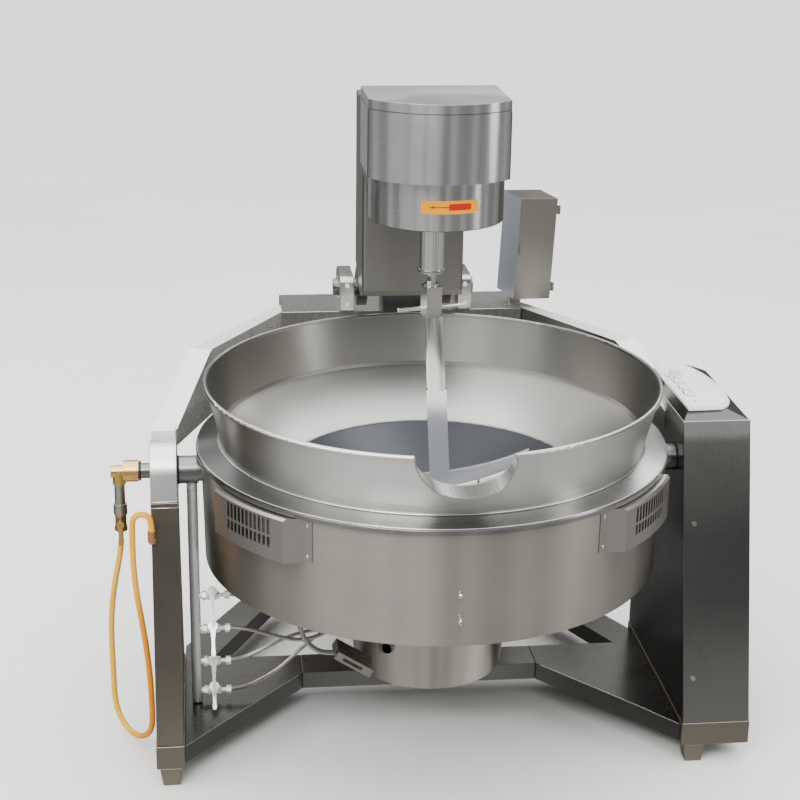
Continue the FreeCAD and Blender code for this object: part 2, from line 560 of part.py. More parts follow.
bodies = []
for k, (z, tilt, tail) in enumerate(VALVES):
    t = math.radians(tilt)
    s = (0, -math.cos(t), math.sin(t))
    b = fuse(cyl(8, 30, (-600, 0, z), (1, 0, 0)), hex_x(22, 9, -583, z), cyl(12, 24, (-570, 0, z), (1, 0, 0)), hex_x(20, 7, -574, z, 30),
             hex_x(20, 7, -547, z, 30), cyl(5.5, 16, (-541, 0, z), (1, 0, 0)), hex_x(19, 13, -527, z),
             cyl(7, 29, (VALVE_X, 0, z), s), cyl(4, 37, (VALVE_X, 0, z), s))
    b = b.cut(cyl(MAN_R, 700, (MAN_X, 0, 60)))
    bodies.append(max(b.Solids, key=lambda q: q.Volume))
    # lever, drawn hanging in its own plane
    m = FreeCAD.Placement(V(VALVE_X, 0, z), FreeCAD.Rotation(V(1, 0, 0), -tilt))
    L = tail
    lev = cyl(12.5, 4.5, (0, -30, 0), (0, -1, 0))
    tailp = prism_y([(-7, -8), (7, -8), (4.2, -L * 0.45), (4.0, -L * 0.7), (5.5, -L + 8), (3.5, -L), (-3.5, -L), (-5.5, -L + 8), (-4.0, -L * 0.7), (-4.2, -L * 0.45)], -34.5, -30.5)
    lev = fuse(lev, tailp).cut(cyl(4.0 + RUN, 20, (0, -25, 0), (0, -1, 0)))
    export("valve_lever_%d" % (k + 1), lev.transformed(m.toMatrix()))
    print("lever", k + 1, "axis", tuple(round(c, 5) for c in m.Rotation.multVec(V(0, -1, 0))))
export("valve_bodies", *bodies)

tubes = [
    [(-513.3, 0, 402), (-478, -4, 402), (-436, -16, 424), (-410, -24, 470), (-404, -26, 514)],
    [(-513.3, 0, 308), (-468, -3, 304), (-404, -10, 286), (-335, -16, 270), (-270, -12, 285), (-208, -6, 330)],
    [(-513.3, 0, 215), (-474, 6, 219), (-430, 14, 236), (-369, 26, 262), (-300, 34, 276), (-196, 36, 270)],
    [(-513.3, 0, 130), (-465, 10, 134), (-400, 34, 156), (-335, 58, 204), (-272, 72, 252), (-187, 76, 290)],
]
tsol = []
for i, p in enumerate(tubes):
    tsol.append(tube_on(p, 5.0, report="tube %d" % (i + 1)).cut(chamber_fill))
conduit = tube_on([(-354, -200, 514), (-353, -200, 440), (-336, -202, 368), (-300, -205, 334), (-256, -206, 330)], 6.5, report="conduit")
dirv = unit((98, 0, -63))
dm = FreeCAD.Placement(V(-256, -206, 330), FreeCAD.Rotation(V(0, 1, 0), math.degrees(math.atan2(63, 98))))
duct = box(0, 104, -14, 62, -11, 11)
duct = duct.cut(box(20, 76, -15, -4, -4.5, 4.5))
duct = duct.transformed(dm.toMatrix()).cut(chamber_fill)
duct = max(duct.Solids, key=lambda q: q.Volume)
conduit = conduit.cut(duct)
export("gas_tubes", *([max(t.Solids, key=lambda q: q.Volume) for t in tsol] + [max(conduit.Solids, key=lambda q: q.Volume), duct]))

# ================================================================= arm
arm_prof = [(435, 1081), (455, 1061), (600, 1061), (600, 1110), (640, 1110), (640, 1590), (67, 1590), (67, 1507), (118, 1507), (118, 1400), (435, 1400)]
arm_o = prism_x(arm_prof, -137, 137)
fo = [e for e in arm_o.Edges if abs(e.BoundBox.YMin - 435) < 0.1 and abs(e.BoundBox.YMax - 435) < 0.1 and e.BoundBox.ZLength > 200]
if fo:
    arm_o = arm_o.makeFillet(10, fo)
arm_in = prism_x([(439, 1083), (457, 1065), (457, 1050), (596, 1050), (596, 1114), (636, 1114), (636, 1586), (71, 1586), (71, 1511), (122, 1511), (122, 1404), (439, 1404)], -133, 133)
arm_in = arm_in.cut(cyl(DRUM_R + 4, 111, (0, 0, 1400)))
arm_c = arm_o.cut(arm_in).cut(cyl(DRUM_R, 107, (0, 0, 1400)))
for x0 in (-133, 105):
    lug = prism_x([(500, 1061), (500, 1130), (596, 1130), (640, 1112), (PIV_Y + 20, PIV_Z + 48), (PIV_Y + 48, PIV_Z + 20), (PIV_Y + 48, PIV_Z - 20),
                   (PIV_Y + 20, PIV_Z - 48), (PIV_Y - 20, PIV_Z - 48), (PIV_Y - 50, PIV_Z - 14)], x0, x0 + 28)
    arm_c = arm_c.fuse(lug)
arm_c = arm_c.cut(cyl(SHAFT_R, 400, (-200, PIV_Y, PIV_Z), (1, 0, 0)))
export("arm_column", arm_c.removeSplitter())
export("pivot_shaft", cyl(SHAFT_R, 396, (-198, PIV_Y, PIV_Z), (1, 0, 0)))


def d_face(xl, xr, yb, r, z):
    """straight sides and back, with a round front of radius r about the spindle axis"""
    yl, yr = -math.sqrt(r * r - xl * xl), -math.sqrt(r * r - xr * xr)
    w = Part.Wire([
        Part.LineSegment(V(xr, yb, z), V(xl, yb, z)).toShape(),
        Part.LineSegment(V(xl, yb, z), V(xl, yl, z)).toShape(),
        Part.Arc(V(xl, yl, z), V(0, -r, z), V(xr, yr, z)).toShape(),
        Part.LineSegment(V(xr, yr, z), V(xr, yb, z)).toShape()])
    return Part.Face(w)


hood_o = d_face(-178, 149, 67, HOOD_R, HEAD_Z0).extrude(V(0, 0, HEAD_Z1 - HEAD_Z0))
hood_i = d_face(-175.5, 146.5, 64.5, HOOD_R - 2.5, HEAD_Z0 + 2.5).extrude(V(0, 0, HEAD_Z1 - HEAD_Z0 - 5))
export("head_hood", hood_o.cut(hood_i).cut(cyl(64, 20, (0, 0, HEAD_Z0 - 5))))
drum = cyl(DRUM_R, DRUM_Z1 - DRUM_Z0, (0, 0, DRUM_Z0)).cut(cyl(DRUM_R - 3.5, DRUM_Z1 - DRUM_Z0 - 16, (0, 0, DRUM_Z0 + 10)))
drum = drum.cut(cyl(100.5, 20, (0, 0, DRUM_Z0 - 5))).cut(cyl(20.5, 20, (0, 0, DRUM_Z1 - 10)))
export("gear_drum", drum)
motor = fuse(cyl(62, 20, (0, 0, HEAD_Z0)), cyl(54, 110, (0, 0, HEAD_Z0 + 20)), cyl(50, 26, (0, 0, HEAD_Z0 + 130)))
export("stir_motor", motor)


def gear_pts(n, m, internal, turn=0.0):
    """straight-flanked teeth with backlash"""
    rp = n * m / 2
    pts = []
    p = 2 * math.pi / n
    if internal:
        r_tip, r_root, wt, wr = rp - 0.8 * m, rp + 1.15 * m, 0.15, 0.31
    else:
        r_tip, r_root, wt, wr = rp + 0.8 * m, rp - 1.15 * m, 0.12, 0.30
    for i in range(n):
        a = i * p + turn
        for da, r in ((-wr * p, r_root), (-wt * p, r_tip), (wt * p, r_tip), (wr * p, r_root)):
            pts.append((r * math.cos(a + da), r * math.sin(a + da)))
    return pts


GZ0, GZ1 = 1440.0, 1464.0
# a tooth of the ring lies between two teeth of the planet where they mesh (+Y)
rp_turn = math.pi / 2
ring = fuse(cyl(112, GZ1 - GZ0, (0, 0, GZ0)), box(-170, 170, -15, 15, GZ0, GZ1).common(cyl(DRUM_R - 3.5, GZ1 - GZ0, (0, 0, GZ0)))).cut(prism_z(gear_pts(RING_N, GEAR_M, True, rp_turn), GZ0 - 1, GZ1 + 1))
pl = prism_z([(x, y + ECC) for x, y in gear_pts(PLANET_N, GEAR_M, False, math.pi / 2 + math.pi / PLANET_N)], GZ0, GZ1)
pl = pl.cut(cyl(15, 40, (0, ECC, GZ0 - 5)))
export("ring_gear", ring)
export("planet_gear", pl)
ring_d = ring.common(pl)
print("ring/planet overlap", ring_d.Volume)

carrier = fuse(cyl(100, 8, (0, 0, 1386)), cyl(26, 46, (0, -8, 1393)), cyl(20, 119, (0, 0, 1386)))
carrier = fuse(carrier, cyl(39, 20, (0, ECC, 1394))).cut(cyl(32 + RUN, 60, (0, ECC, 1380)))
export("planet_carrier", carrier)

spindle = fuse(cyl(32, 180, (0, ECC, 1233)), cyl(15, 62, (0, ECC, 1410)), cyl(35, 5, (0, ECC, 1236)))
neck = fuse(box(-6, 6, ECC - 13, ECC + 13, 1200, 1236), cyl(13, 12, (0, ECC, 1223)))
collar = cyl(17.5, 8, (0, ECC, 1196))
block = box(-19, 21, ECC - 22, ECC + 22, 1120, 1197)
block = block.cut(cyl(3.8 + 0.07, 80, (-40, ECC, 1140), (1, 0, 0)))
# the fork and its pin stand at an angle to the machine
PIN_YAW = 12.8
head_fork = fuse(neck, collar, block)
head_fork.rotate(V(0, ECC, 0), V(0, 0, 1), PIN_YAW)
spindle = fuse(spindle, head_fork)
export("stir_spindle", spindle)

ta = (7.0, ECC, 1120.0)
tb = (30.0, ECC, 700.0)
td = unit(tuple(b - a for a, b in zip(ta, tb)))
tlen = (1120.0 - 926.0) / abs(td[2])
arm_t = cyl(23, tlen + 4, (ta[0] - td[0] * 4, ta[1], ta[2] - td[2] * 4), td).cut(box(-60, 60, 0, 120, 1120, 1140))
ang = math.degrees(math.atan2(td[0], -td[2]))
flat = box(-25.5, 25.5, -9, 9, -250, 0)
fm = FreeCAD.Placement(V(ta[0] + td[0] * tlen, ECC, ta[2] + td[2] * tlen), FreeCAD.Rotation(V(0, 1, 0), -ang))
flat = flat.transformed(fm.toMatrix())


def dish_z(a):
    return DISH_ZC - math.sqrt(DISH_R ** 2 - (abs(a) + ECC) ** 2)


N = 26
BL = 262.0
xs = [-BL + 2 * BL * i / N for i in range(N + 1)]
blade_pts = [(x, dish_z(x) + 26) for x in xs] + [(x, dish_z(x) + 58 + 14 * (1 - abs(x) / BL)) for x in reversed(xs)]
blade = prism_y(blade_pts, ECC - 5, ECC + 5)
flat = flat.cut(prism_y(blade_pts[:N + 1] + [(BL, 500), (-BL, 500)], ECC - 30, ECC + 30)).cut(blade)
flat = flat.cut(prism_y([(-BL, 500)] + [(x, dish_z(x) + 26) for x in xs] + [(BL, 500)], ECC - 30, ECC + 30))
stir_arm = fuse(arm_t, flat)
export("stir_arm", max(stir_arm.Solids, key=lambda q: q.Volume))
export("stir_blade", blade)
pads = []
for x0, x1 in ((-258, -136), (-130, -4), (4, 130), (136, 258)):
    xx = [x0 + (x1 - x0) * i / 8 for i in range(9)]
    pads.append(prism_y([(x, dish_z(x) + 2.5) for x in xx] + [(x, dish_z(x) + 26) for x in reversed(xx)], ECC - 8, ECC + 8))
export("scraper_pads", *pads)
pin = fuse(cyl(3.8, 108, (-22, ECC, 1140), (1, 0, 0)), cyl(5.8, 66, (-86, ECC, 1140), (1, 0, 0)))
pin.rotate(V(0, ECC, 0), V(0, 0, 1), PIN_YAW)
export("release_pin", pin)
print("pin axis", math.cos(math.radians(PIN_YAW)), math.sin(math.radians(PIN_YAW)))
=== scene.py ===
import json
import math
import random

import bmesh
import bpy
from mathutils import Matrix, Vector, noise

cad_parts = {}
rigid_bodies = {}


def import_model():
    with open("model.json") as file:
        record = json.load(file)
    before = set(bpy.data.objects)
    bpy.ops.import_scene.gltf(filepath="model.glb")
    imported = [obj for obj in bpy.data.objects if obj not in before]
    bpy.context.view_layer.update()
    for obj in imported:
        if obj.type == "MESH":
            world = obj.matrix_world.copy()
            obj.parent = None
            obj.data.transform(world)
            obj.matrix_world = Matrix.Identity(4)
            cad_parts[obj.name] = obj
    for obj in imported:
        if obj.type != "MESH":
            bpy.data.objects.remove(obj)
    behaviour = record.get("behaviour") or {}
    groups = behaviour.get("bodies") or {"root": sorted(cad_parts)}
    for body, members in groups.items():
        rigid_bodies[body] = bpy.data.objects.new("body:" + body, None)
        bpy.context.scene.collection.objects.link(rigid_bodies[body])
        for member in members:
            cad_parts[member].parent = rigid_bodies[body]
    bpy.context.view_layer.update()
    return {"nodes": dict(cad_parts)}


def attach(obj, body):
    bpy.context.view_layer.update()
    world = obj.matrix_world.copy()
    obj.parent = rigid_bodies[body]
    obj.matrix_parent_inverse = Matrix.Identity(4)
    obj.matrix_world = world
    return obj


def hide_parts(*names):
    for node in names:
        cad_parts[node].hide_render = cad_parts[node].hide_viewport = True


for o in list(bpy.data.objects):
    bpy.data.objects.remove(o)

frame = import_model()
nodes = frame["nodes"]

OX, OY = 2.0, 115.0


def P(x, y, z):
    """machine millimetres to row-frame metres"""
    return Vector(((x - OX) / 1000, (y - OY) / 1000, z / 1000))


# ------------------------------------------------------------------ camera
def make_camera():
    az, pitch, roll = math.radians(-6.68), math.radians(19.02), math.radians(0.82)
    fwd = Vector((-math.sin(az) * math.cos(pitch), math.cos(az) * math.cos(pitch), -math.sin(pitch)))
    right = Vector((math.cos(az), math.sin(az), 0))
    up = right.cross(fwd)
    r2 = right * math.cos(roll) + up * math.sin(roll)
    u2 = up * math.cos(roll) - right * math.sin(roll)
    cam = bpy.data.cameras.new("camera")
    ob = bpy.data.objects.new("camera", cam)
    bpy.context.scene.collection.objects.link(ob)
    ob.location = P(-559.0, -4082.9, 2335.8)
    m = Matrix((r2, u2, -fwd)).transposed()
    ob.rotation_mode = "QUATERNION"
    ob.rotation_quaternion = m.to_quaternion()
    cam.sensor_width = 36.0
    cam.lens = 1742.71 * 36.0 / 800.0
    cam.clip_start, cam.clip_end = 0.1, 200.0
    bpy.context.scene.camera = ob


make_camera()


# ------------------------------------------------------------------ node helpers
class Mat:
    """a small builder for procedural materials"""

    def __init__(self, name):
        self.m = bpy.data.materials.new(name)
        self.m.use_nodes = True
        self.t = self.m.node_tree
        self.t.nodes.clear()
        self.out = self.t.nodes.new("ShaderNodeOutputMaterial")
        self.b = self.t.nodes.new("ShaderNodeBsdfPrincipled")
        self.t.links.new(self.b.outputs[0], self.out.inputs[0])
        self.tc = self.t.nodes.new("ShaderNodeTexCoord")
        self.obj = self.tc.outputs["Object"]

    def link(self, a, b):
        self.t.links.new(a, b)

    def vmath(self, op, a, b=None, scale=None):
        n = self.t.nodes.new("ShaderNodeVectorMath")
        n.operation = op
        self._set(n.inputs[0], a)
        if b is not None:
            self._set(n.inputs[1], b)
        if scale is not None:
            n.inputs["Scale"].default_value = scale
        return n.outputs["Value"] if op in ("LENGTH", "DOT_PRODUCT", "DISTANCE") else n.outputs[0]

    def math(self, op, a, b=None, c=None, clamp=False):
        n = self.t.nodes.new("ShaderNodeMath")
        n.operation = op
        n.use_clamp = clamp
        self._set(n.inputs[0], a)
        if b is not None:
            self._set(n.inputs[1], b)
        if c is not None:
            self._set(n.inputs[2], c)
        return n.outputs[0]

    def _set(self, sock, v):
        if isinstance(v, bpy.types.NodeSocket):
            self.link(v, sock)
        else:
            sock.default_value = v

    def split(self, v):
        n = self.t.nodes.new("ShaderNodeSeparateXYZ")
        self.link(v, n.inputs[0])
        return n.outputs

    def join(self, x, y, z):
        n = self.t.nodes.new("ShaderNodeCombineXYZ")
        for s, v in zip(n.inputs, (x, y, z)):
            self._set(s, v)
        return n.outputs[0]

    def noise(self, vec, scale=1.0, detail=3.0, rough=0.55, distort=0.0):
        n = self.t.nodes.new("ShaderNodeTexNoise")
        self.link(vec, n.inputs["Vector"])
        n.inputs["Scale"].default_value = scale
        n.inputs["Detail"].default_value = detail
        n.inputs["Roughness"].default_value = rough
        n.inputs["Distortion"].default_value = distort
        return n.outputs[0]

    def ramp(self, fac, stops, interp="LINEAR"):
        n = self.t.nodes.new("ShaderNodeValToRGB")
        self.link(fac, n.inputs[0])
        n.color_ramp.interpolation = interp
        e = n.color_ramp.elements
        e[0].position, e[0].color = stops[0][0], (*stops[0][1], 1)
        e[1].position, e[1].color = stops[-1][0], (*stops[-1][1], 1)
        for p, c in stops[1:-1]:
            k = e.new(p)
            k.color = (*c, 1)
        return n.outputs[0]

    def maprange(self, v, a, b, c, d, smooth=False):
        n = self.t.nodes.new("ShaderNodeMapRange")
        n.interpolation_type = "SMOOTHSTEP" if smooth else "LINEAR"
        self.link(v, n.inputs[0])
        for i, x in zip((1, 2, 3, 4), (a, b, c, d)):
            n.inputs[i].default_value = x
        return n.outputs[0]

    def mix(self, fac, a, b, mode="MIX"):
        n = self.t.nodes.new("ShaderNodeMix")
        n.data_type = "RGBA"
        n.blend_type = mode
        self._set(n.inputs[0], fac)
        self._set(n.inputs[6], a if isinstance(a, bpy.types.NodeSocket) else (*a, 1))
        self._set(n.inputs[7], b if isinstance(b, bpy.types.NodeSocket) else (*b, 1))
        return n.outputs[2]

    def bump(self, height, strength, dist=0.001, normal=None):
        n = self.t.nodes.new("ShaderNodeBump")
        n.inputs["Strength"].default_value = strength
        n.inputs["Distance"].default_value = dist
        self.link(height, n.inputs["Height"])
        if normal is not None:
            self.link(normal, n.inputs["Normal"])
        return n.outputs[0]

    def set(self, **kw):
        names = {"metallic": "Metallic", "rough": "Roughness", "color": "Base Color", "ior": "IOR", "aniso": "Anisotropic", "arot": "Anisotropic Rotation",
                 "coat": "Coat Weight", "coat_rough": "Coat Roughness", "spec": "Specular IOR Level", "normal": "Normal", "tangent": "Tangent",
                 "sss": "Subsurface Weight"}
        for k, v in kw.items():
            s = self.b.inputs[names[k]]
            if k == "color" and not isinstance(v, bpy.types.NodeSocket):
                v = (*v, 1)
            self._set(s, v)
        return self


AX = P(0, 0, 0)
HX = P(0, 0, 0)


def steel(name, col, rough=0.3, brush="z", fine=1.0, aniso=0.5, tone=0.06, streak=0.10, grime=0.0, grime_col=(0.20, 0.17, 0.13), bump=0.05, heat=None, dish=False, low=None, painted_side_light=None, grad=None, wave=0.02, plain_top=False, lower=None, painted_light_across=None, painted_lit_side=None):
    """brushed or polished stainless steel.  brush: z, x or y for straight grain, ring for circular grain round the pot's axis"""
    k = Mat(name)
    x, y, z = k.split(k.obj)
    if brush == "ring":
        dx, dy = k.math("SUBTRACT", x, AX.x), k.math("SUBTRACT", y, AX.y)
        r = k.math("SQRT", k.math("ADD", k.math("MULTIPLY", dx, dx), k.math("MULTIPLY", dy, dy)))
        inv = k.math("DIVIDE", 1.0, k.math("MAXIMUM", r, 0.001))
        c, s = k.math("MULTIPLY", dx, inv), k.math("MULTIPLY", dy, inv)
        fine_v = k.join(k.math("ADD", k.math("MULTIPLY", r, 900.0 * fine), k.math("MULTIPLY", c, 6.0)), k.math("MULTIPLY", z, 900.0 * fine), k.math("MULTIPLY", s, 6.0))
        mid_v = k.join(k.math("ADD", k.math("MULTIPLY", r, 130.0), k.math("MULTIPLY", c, 3.5)), k.math("MULTIPLY", z, 130.0), k.math("MULTIPLY", s, 3.5))
        if plain_top:
            # flat flanks beside the round front: the grain runs level all the way round
            fine_v = k.vmath("MULTIPLY", k.obj, (5.0, 5.0, 900.0))
            mid_v = k.vmath("MULTIPLY", k.obj, (2.5, 2.5, 130.0))
        arot = 0.25
    else:
        f = {"z": (900, 900, 5), "x": (5, 900, 900), "y": (900, 5, 900)}[brush]
        g = {"z": (120, 120, 2.5), "x": (2.5, 120, 120), "y": (120, 2.5, 120)}[brush]
        fine_v = k.vmath("MULTIPLY", k.obj, tuple(a * fine if a > 100 else a for a in f))
        mid_v = k.vmath("MULTIPLY", k.obj, g)
        arot = 0.0 if brush == "z" else 0.25
    n_f = k.noise(fine_v, 1.0, 3.0, 0.6)
    n_m = k.noise(mid_v, 1.0, 3.0, 0.6)
    n_l = k.noise(k.obj, 3.2, 4.0, 0.55, 0.6)
    n_s = k.noise(k.obj, 22.0, 4.0, 0.6, 0.3)
    # tone: broad clouding plus fine streaks
    v = k.math("ADD", k.maprange(n_l, 0.3, 0.7, 1.0 - tone, 1.0 + tone), k.maprange(n_m, 0.25, 0.75, -streak * 0.25, streak * 0.25))
    v = k.math("ADD", v, k.maprange(n_f, 0.2, 0.8, -streak * 0.6, streak * 0.6))
    if grad is not None:
        # painted light and shade that change with height: pairs of (height, factor)
        gr = k.ramp(k.maprange(z, 0.0, 2.0, 0.0, 1.0), [(a / 2.0, (f * 0.2, f * 0.2, f * 0.2)) for a, f in grad])
        v = k.math("MULTIPLY", v, k.math("MULTIPLY", k.split(gr)[0], 5.0))
    # painted light and shade: faces turned towards the given direction have their tone scaled by the given factor,
    # darker or lighter
    if painted_side_light is not None:
        geo = k.t.nodes.new("ShaderNodeNewGeometry")
        nx = k.vmath("DOT_PRODUCT", geo.outputs["Normal"], painted_side_light[0])
        v = k.math("MULTIPLY", v, k.maprange(nx, 0.55, 0.95, 1.0, painted_side_light[1], True))
    if painted_light_across is not None:
        # painted light and shade that change across the machine: pairs of (distance from the pot's axis, factor)
        gx = k.ramp(k.maprange(k.math("SUBTRACT", x, AX.x), -1.0, 1.0, 0.0, 1.0), [((a + 1.0) / 2.0, (f * 0.2, f * 0.2, f * 0.2)) for a, f in painted_light_across])
        v = k.math("MULTIPLY", v, k.math("MULTIPLY", k.split(gx)[0], 5.0))
    metal = 1.0
    base = k.mix(1.0, col, k.join(v, v, v), "MULTIPLY")
    for toward, painted_side_col, side_metal in painted_lit_side or ():
        # a side painted in a lighter colour as painted light, and made less metallic than the rest
        geo = k.t.nodes.new("ShaderNodeNewGeometry")
        ms = k.maprange(k.vmath("DOT_PRODUCT", geo.outputs["Normal"], toward), 0.80, 0.95, 0.0, 1.0, True)
        base = k.mix(ms, base, painted_side_col)
        metal = k.math("MULTIPLY", metal, k.maprange(ms, 0.0, 1.0, 1.0, side_metal))
    mv = 0.0 if plain_top else 1.0
    rr = k.math("ADD", k.maprange(n_m, 0.3, 0.7, rough - 0.010 * mv, rough + 0.012 * mv), k.maprange(n_l, 0.35, 0.65, -0.02, 0.03))
    rr = k.math("ADD", rr, k.maprange(n_f, 0.2, 0.8, -0.03, 0.03))
    if grime > 0:
        g = k.maprange(k.math("MULTIPLY", n_s, k.maprange(n_l, 0.35, 0.7, 0.4, 1.3)), 0.42, 0.75, 0.0, grime)
        base = k.mix(g, base, grime_col)
        rr = k.math("ADD", rr, k.math("MULTIPLY", g, 0.25))
    if heat is not None:
        # a darker, warmer tint low down, where the flame gases leave their mark
        h = k.maprange(z, heat[0], heat[1], heat[2], 0.0, True)
        h = k.math("MULTIPLY", h, k.maprange(n_l, 0.3, 0.7, 0.6, 1.2))
        base = k.mix(h, base, (0.33, 0.27, 0.20))
    if low is not None:
        h = k.maprange(z, low[0], low[1], low[2], 0.0, True)
        base = k.mix(h, base, (0.10, 0.095, 0.085))
    if dish:
        # the bottom of the dish is a darker, bluish plate with a crisp edge, with its left side painted lighter as a
        # painted highlight
        edge = k.math("ADD", r, k.maprange(n_s, 0.3, 0.7, -0.0015, 0.0015))
        d = k.maprange(edge, 0.3730, 0.3760, 1.0, 0.0, True)
        deep = k.mix(k.maprange(dx, -0.02, 0.20, 0.0, 1.0, True), (0.19, 0.20, 0.222), (0.118, 0.124, 0.137))
        # painted shade: the bowl right of the pot's axis, below the wall, is painted darker
        base = k.mix(k.math("MULTIPLY", k.maprange(dx, 0.30, 0.50, 0.0, 0.75, True), k.maprange(z, 0.830, 0.850, 1.0, 0.0)), base, (0.36, 0.355, 0.34))
        base = k.mix(d, base, deep)
        rr = k.math("ADD", rr, k.math("MULTIPLY", d, 0.06))
        # the pressed zone outside it is matter and is painted lighter, a painted highlight that fades out towards the
        # sides; the wall above it is painted darker inside and lighter outside, as painted shade and painted light
        zone = k.math("MULTIPLY", k.maprange(r, 0.374, 0.379, 0.0, 1.0, True), k.maprange(r, 0.395, 0.515, 1.0, 0.0, True))
        zone = k.math("MULTIPLY", zone, k.maprange(k.math("ABSOLUTE", k.math("ADD", dx, 0.06)), 0.26, 0.44, 1.0, 0.05, True))
        base = k.mix(zone, base, (0.97, 0.97, 0.96))
        metal = k.maprange(zone, 0.0, 1.0, 1.0, 0.30)
        geo = k.t.nodes.new("ShaderNodeNewGeometry")
        nr = k.vmath("DOT_PRODUCT", geo.outputs["Normal"], k.join(c, s, 0.0))
        wall = k.maprange(z, 0.830, 0.850, 0.0, 1.0, True)
        inner = k.math("MULTIPLY", wall, k.maprange(nr, -0.30, -0.60, 0.0, 1.0, True))
        base = k.mix(inner, base, (0.33, 0.323, 0.300))
        outer = k.math("MULTIPLY", wall, k.maprange(nr, 0.30, 0.60, 0.0, 1.0, True))
        # painted shade: the outside of the wall on the far left is painted nearly black
        left = k.math("MULTIPLY", outer, k.maprange(dx, -0.36, -0.52, 0.0, 0.85, True))
        base = k.mix(k.math("MULTIPLY", outer, 0.6), base, (0.82, 0.81, 0.78))
        base = k.mix(left, base, (0.09, 0.089, 0.085))
        ring = k.maprange(k.math("ABSOLUTE", k.math("SUBTRACT", r, 0.3770)), 0.0, 0.0025, 0.30, 0.0, True)
        base = k.mix(ring, base, (0.14, 0.14, 0.14))
    rr = k.math("MINIMUM", k.math("MAXIMUM", rr, 0.05), 0.85)
    b1 = k.bump(n_f, bump, 0.0006)
    if dish:
        # the pressed zone between the bottom plate and the wall is a little flatter
        b1 = k.bump(k.maprange(r, 0.372, 0.522, 0.0, -0.058), 1.0, 1.0, b1)
    b2 = k.bump(n_l, wave, 0.004, b1)
    t = k.t.nodes.new("ShaderNodeTangent")
    t.direction_type = "RADIAL"
    t.axis = "Z"
    tan = t.outputs[0]
    if plain_top or brush != "ring":
        geo = k.t.nodes.new("ShaderNodeNewGeometry")
        if brush != "ring":
            # level along each flat face, wherever the face stands
            tan = k.vmath("CROSS_PRODUCT", (0.0, 0.0, 1.0), geo.outputs["True Normal"])
        nz = k.math("ABSOLUTE", k.vmath("DOT_PRODUCT", geo.outputs["True Normal"], (0.0, 0.0, 1.0)))
        tan = k.mix(k.maprange(nz, 0.80, 0.95, 0.0, 1.0), tan, (1.0, 0.0, 0.0))
    if lower is not None:
        base = k.mix(k.maprange(z, lower[0] - 0.0015, lower[0] + 0.0015, 1.0, 0.0), base, lower[1])
    k.set(metallic=metal, color=base, rough=rr, aniso=aniso, arot=arot, normal=b2, tangent=tan)
    return k.m


def paint(name, col, rough=0.4, wear=0.0, under=(0.25, 0.24, 0.23), orange=0.03, tone=0.04, metallic=0.0, coat=0.0, coat_rough=0.1, speck=0.0, spec=0.5):
    k = Mat(name)
    n_l = k.noise(k.obj, 5.0, 4.0, 0.6)
    n_s = k.noise(k.obj, 60.0, 4.0, 0.65)
    n_o = k.noise(k.obj, 900.0, 2.0, 0.5)
    v = k.maprange(n_l, 0.3, 0.7, 1.0 - tone, 1.0 + tone)
    base = k.mix(1.0, col, k.join(v, v, v), "MULTIPLY")
    if speck > 0:
        base = k.mix(k.maprange(n_s, 0.62, 0.72, 0.0, speck), base, tuple(c * 0.45 for c in col))
    if wear > 0:
        g = k.t.nodes.new("ShaderNodeNewGeometry")
        w = k.math("MULTIPLY", k.maprange(g.outputs["Pointiness"], 0.52, 0.60, 0.0, 1.0), k.maprange(n_s, 0.4, 0.6, 0.0, wear))
        base = k.mix(w, base, under)
    rr = k.math("ADD", k.maprange(n_l, 0.3, 0.7, rough - 0.04, rough + 0.05), k.maprange(n_s, 0.3, 0.7, -0.03, 0.03))
    k.set(metallic=metallic, color=base, rough=rr, spec=spec, coat=coat, coat_rough=coat_rough, normal=k.bump(n_o, orange, 0.0004, k.bump(n_s, 0.04, 0.001)))
    return k.m


M = {}
M["skirt"] = steel("skirt_steel", (0.51, 0.485, 0.435), 0.34, "ring", 1.0, 0.85, 0.04, 0.05, 0.03, bump=0.04, heat=(0.52, 0.62, 0.12))
# painted light and shade across the machine: the shoulder darker on the left and lighter on the right, the burner
# chamber lighter on the right
M["shoulder"] = steel("shoulder_steel", (0.40, 0.396, 0.388), 0.28, "ring", 1.0, 0.80, 0.04, 0.05, 0.02, painted_light_across=((-0.62, 0.24), (-0.38, 0.72), (0.30, 0.75), (0.55, 1.45)))
M["bowl"] = steel("bowl_steel", (0.64, 0.63, 0.605), 0.36, "ring", 1.0, 0.80, 0.03, 0.03, 0.0, bump=0.03, dish=True)
M["lip"] = steel("lip_steel", (0.62, 0.61, 0.59), 0.30, "y", 1.0, 0.5, 0.03, 0.05, 0.02)
M["chamber"] = steel("chamber_steel", (0.47, 0.45, 0.41), 0.34, "ring", 1.0, 0.85, 0.05, 0.06, 0.06, heat=(0.30, 0.52, 0.15), painted_light_across=((-0.30, 1.0), (0.00, 1.0), (0.12, 2.1), (0.30, 2.1)))
M["vent"] = steel("vent_steel", (0.50, 0.48, 0.45), 0.32, "z", 1.0, 0.5, 0.03, 0.04, 0.02)
# painted light: the head's faces turned to the left are painted lighter
M["head"] = steel("head_steel_ring", (0.58, 0.58, 0.57), 0.23, "ring", 1.2, 0.92, 0.02, 0.02, 0.0, bump=0.006, wave=0.0, plain_top=True, painted_side_light=((-1.0, 0.0, 0.0), 1.6))
M["column"] = steel("column_steel", (0.235, 0.228, 0.21), 0.32, "x", 1.0, 0.6, 0.04, 0.06, 0.02)
